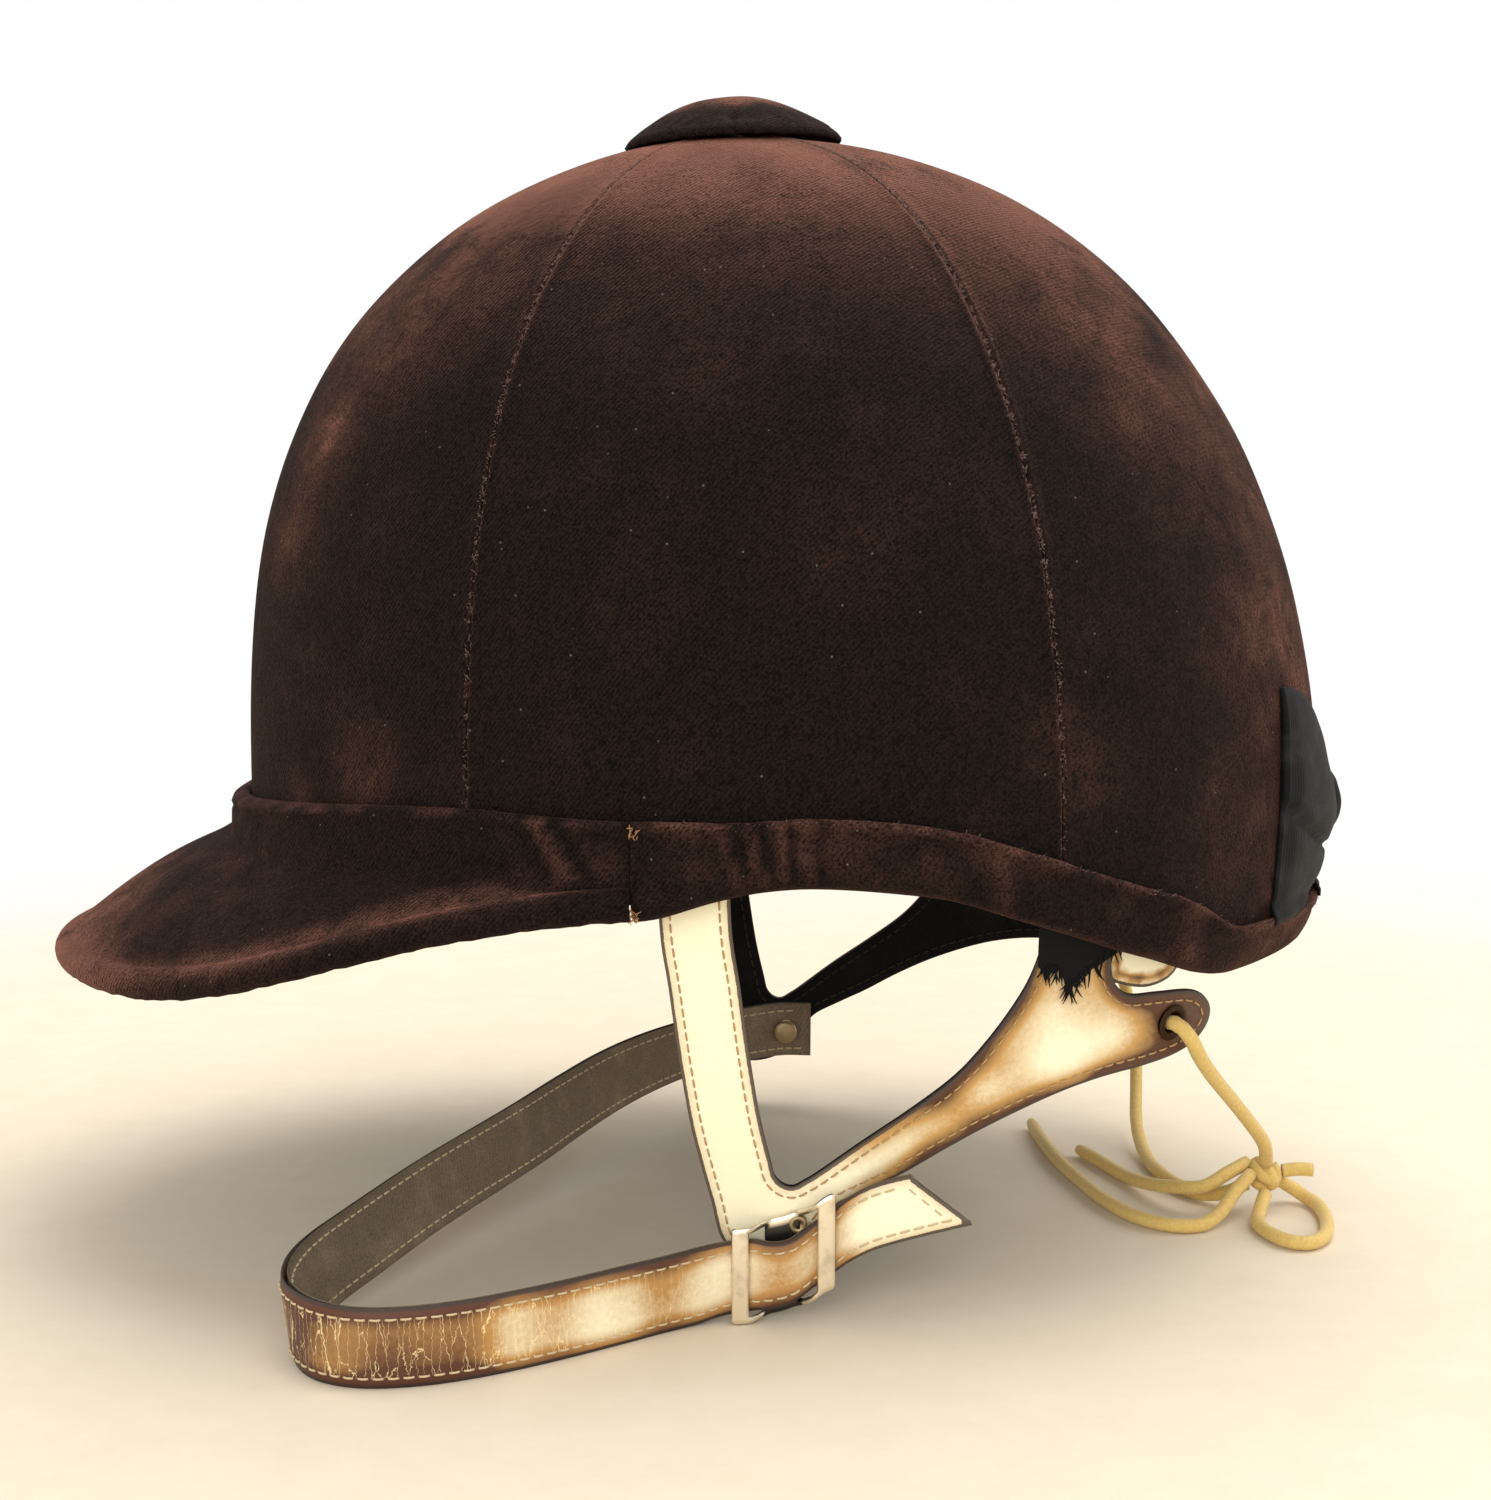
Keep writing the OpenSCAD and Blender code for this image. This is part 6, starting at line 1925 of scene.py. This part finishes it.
def makeFuzz():
    random.seed(11)
    parts = []
    lift = panelSettings["welt"]
    for seam, count, spacing in fuzzSettings["seams"]:
        for _ in range(count):
            share = (random.randint(3, 70) + random.gauss(0, 0.2)) / spacing
            z = rowHeight(seam, share, 0, rimHeight(seam) + crown["lift"], crown["holeRadius"])
            a = seam + random.gauss(0, 0.2)
            p = wallPoint(a, z, 0)
            n = wallNormal(a, z)
            along = wallPoint(a, z + 1, 0) - wallPoint(a, z - 1, 0)
            along /= np.linalg.norm(along)
            tip = (n * random.uniform(0.1, 0.4) + along * random.uniform(-1, 1) * 0.7
                   + np.cross(n, along) * random.uniform(-1, 1) * 0.5)
            foot = p + n * (lift - 0.1)
            parts.append(tubeMesh([foot - n * 0.2, foot + tip * 0.5, foot + tip], [0.07, 0.06, 0.03], 3))
    for _ in range(fuzzSettings["onBand"]):
        a = random.uniform(-105, 105)
        t = bandTop(a)
        p = wallPoint(a, t - random.uniform(-0.1, 1.4), -2.55)
        n = wallNormal(a, t)
        tip = np.array([random.uniform(-1, 1) for _ in range(3)]) * 0.7 + n * 0.45 + (0, 0, 0.3)
        parts.append(tubeMesh([p - n * 0.2, p + tip * 0.5, p + tip], [0.055, 0.045, 0.02], 3))
    addStitches("seamFuzz", parts, fuzz, "velvet")


def makeJointThreads():
    random.seed(5)
    parts = []
    for a in (-jointAngle, jointAngle):
        t, r = bandTop(a), rimHeight(a)
        for _ in range(fuzzSettings["jointThreads"]):
            z = random.choice((random.uniform(t - 3, t - 0.3), random.uniform(r - 1.5, r + 1)))
            spin = random.gauss(1.3, 0.7)
            p = wallPoint(a + random.uniform(-0.5, 0.5), z, -2.9)
            n = wallNormal(a, max(z, 0.6))
            along = np.array((-n[1], n[0], 0)) * math.cos(spin) + (0, 0, math.sin(spin))
            along *= random.uniform(0.2, 0.7)
            parts.append(tubeMesh([p - along - n * 0.4, p + n * 0.25, p + along - n * 0.4], 0.09, 5))
    addStitches("jointThreads", parts, threadRust, "velvet")


makeFuzz()
makeJointThreads()

# Rigid nodes that keep their shape from the frame
for node, material in (("hard_shell", shellResin), ("peak_board", boardFibre), ("peak_edge_cord", cordCotton),
                       ("button_rivet", nickelSatin), ("harness_rivets", nickelSatin)):
    for finishSlot in frame["nodes"][node].material_slots:
        finishSlot.material = material
print("hidden pieces finished")


# Pale floor and soft studio light
studio = {
    "floor": -0.092, "floorHalf": 2.6, "fade": (0.3, 0.55), "dark": (0.74, 0.64, 0.5, 1),
    "light": (0.84, 0.76, 0.62, 1), "world": (1.0, 0.97, 0.93, 1), "worldStrength": 0.66,
    # name, place, what it points at, size, power, colour
    "lamps": [("topBox", (0.2, 0.3, 1.2), (0, 0, 0.08), (1.4, 1.2), 15, (1, 0.97, 0.94)),
              ("frontFill", (-0.35, -1.5, 0.55), (0, 0, -0.02), (1.3, 0.9), 13, (1, 0.97, 0.93)),
              ("rightSide", (1.3, 0.1, 0.6), (0, 0, 0.03), (0.8, 0.9), 7, (1, 0.96, 0.92)),
              ("leftSide", (-1.3, 0.1, 0.6), (0, 0, 0.03), (0.8, 0.9), 1, (1, 0.96, 0.92))],
}


def makeStage():
    mesh = bpy.data.meshes.new("floor")
    f, z = studio["floorHalf"], studio["floor"]
    mesh.from_pydata([(-f, -f, z), (f, -f, z), (f, f, z), (-f, f, z)], [], [(0, 1, 2, 3)])
    material, tree, sockets = newMaterial("floorPale", Roughness=0.6, Specular_IOR_Level=0.2)
    place = objectInput(tree)
    fine = useGroup(tree, wornPatches, Vector=place, Scale=9.0, Amount=0.5)["Fine"]
    feed(tree, mixColour(tree, fine, studio["dark"], studio["light"]), sockets["Base Color"])
    # far from the object the camera sees the floor turn white
    far = vectorCalc(tree, "LENGTH", place)["Value"]
    low, high = studio["fade"]
    fade = addNode(tree, "MapRange", {"Value": far, "From Min": low, "From Max": high},
                   interpolation_type="SMOOTHSTEP").outputs["Result"]
    seen = calc(tree, "MULTIPLY", fade, addNode(tree, "LightPath").outputs["Is Camera Ray"])
    white = addNode(tree, "Emission", {"Strength": 1.0}).outputs[0]
    blend = addNode(tree, "MixShader", {0: seen, 1: tree.nodes["Principled BSDF"].outputs[0], 2: white})
    feed(tree, blend.outputs[0], tree.nodes["Material Output"].inputs["Surface"])
    mesh.materials.append(material)
    floor = bpy.data.objects.new("floor", mesh)
    scene.collection.objects.link(floor)
    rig.stage(floor)


def makeWorld():
    world = bpy.data.worlds.new("world")
    scene.world = world
    world.use_nodes = True
    tree = world.node_tree
    background = tree.nodes["Background"]
    feed(tree, studio["world"], background.inputs["Color"])
    feed(tree, studio["worldStrength"], background.inputs["Strength"])
    seen = addNode(tree, "LightPath").outputs["Is Camera Ray"]
    white = addNode(tree, "Background", {"Color": (1, 1, 1, 1), "Strength": 1.0}).outputs[0]
    blend = addNode(tree, "MixShader", {0: seen, 1: background.outputs[0], 2: white})
    feed(tree, blend.outputs[0], tree.nodes["World Output"].inputs["Surface"])


makeStage()
makeWorld()
for name, place, target, size, power, colour in studio["lamps"]:
    data = bpy.data.lights.new(name, "AREA")
    data.shape = "RECTANGLE"
    data.size, data.size_y = size
    data.energy = power
    data.color = colour
    lamp = bpy.data.objects.new(name, data)
    lamp.location = place
    lamp.rotation_euler = (Vector(target) - Vector(place)).to_track_quat("-Z", "Y").to_euler()
    scene.collection.objects.link(lamp)
print("studio lit")

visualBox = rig.bounds()
with open("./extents.json", "w") as sizes:
    json.dump({"cad": [list(map(float, corner)) for corner in cadBox],
               "visual": [list(map(float, corner)) for corner in visualBox]}, sizes)
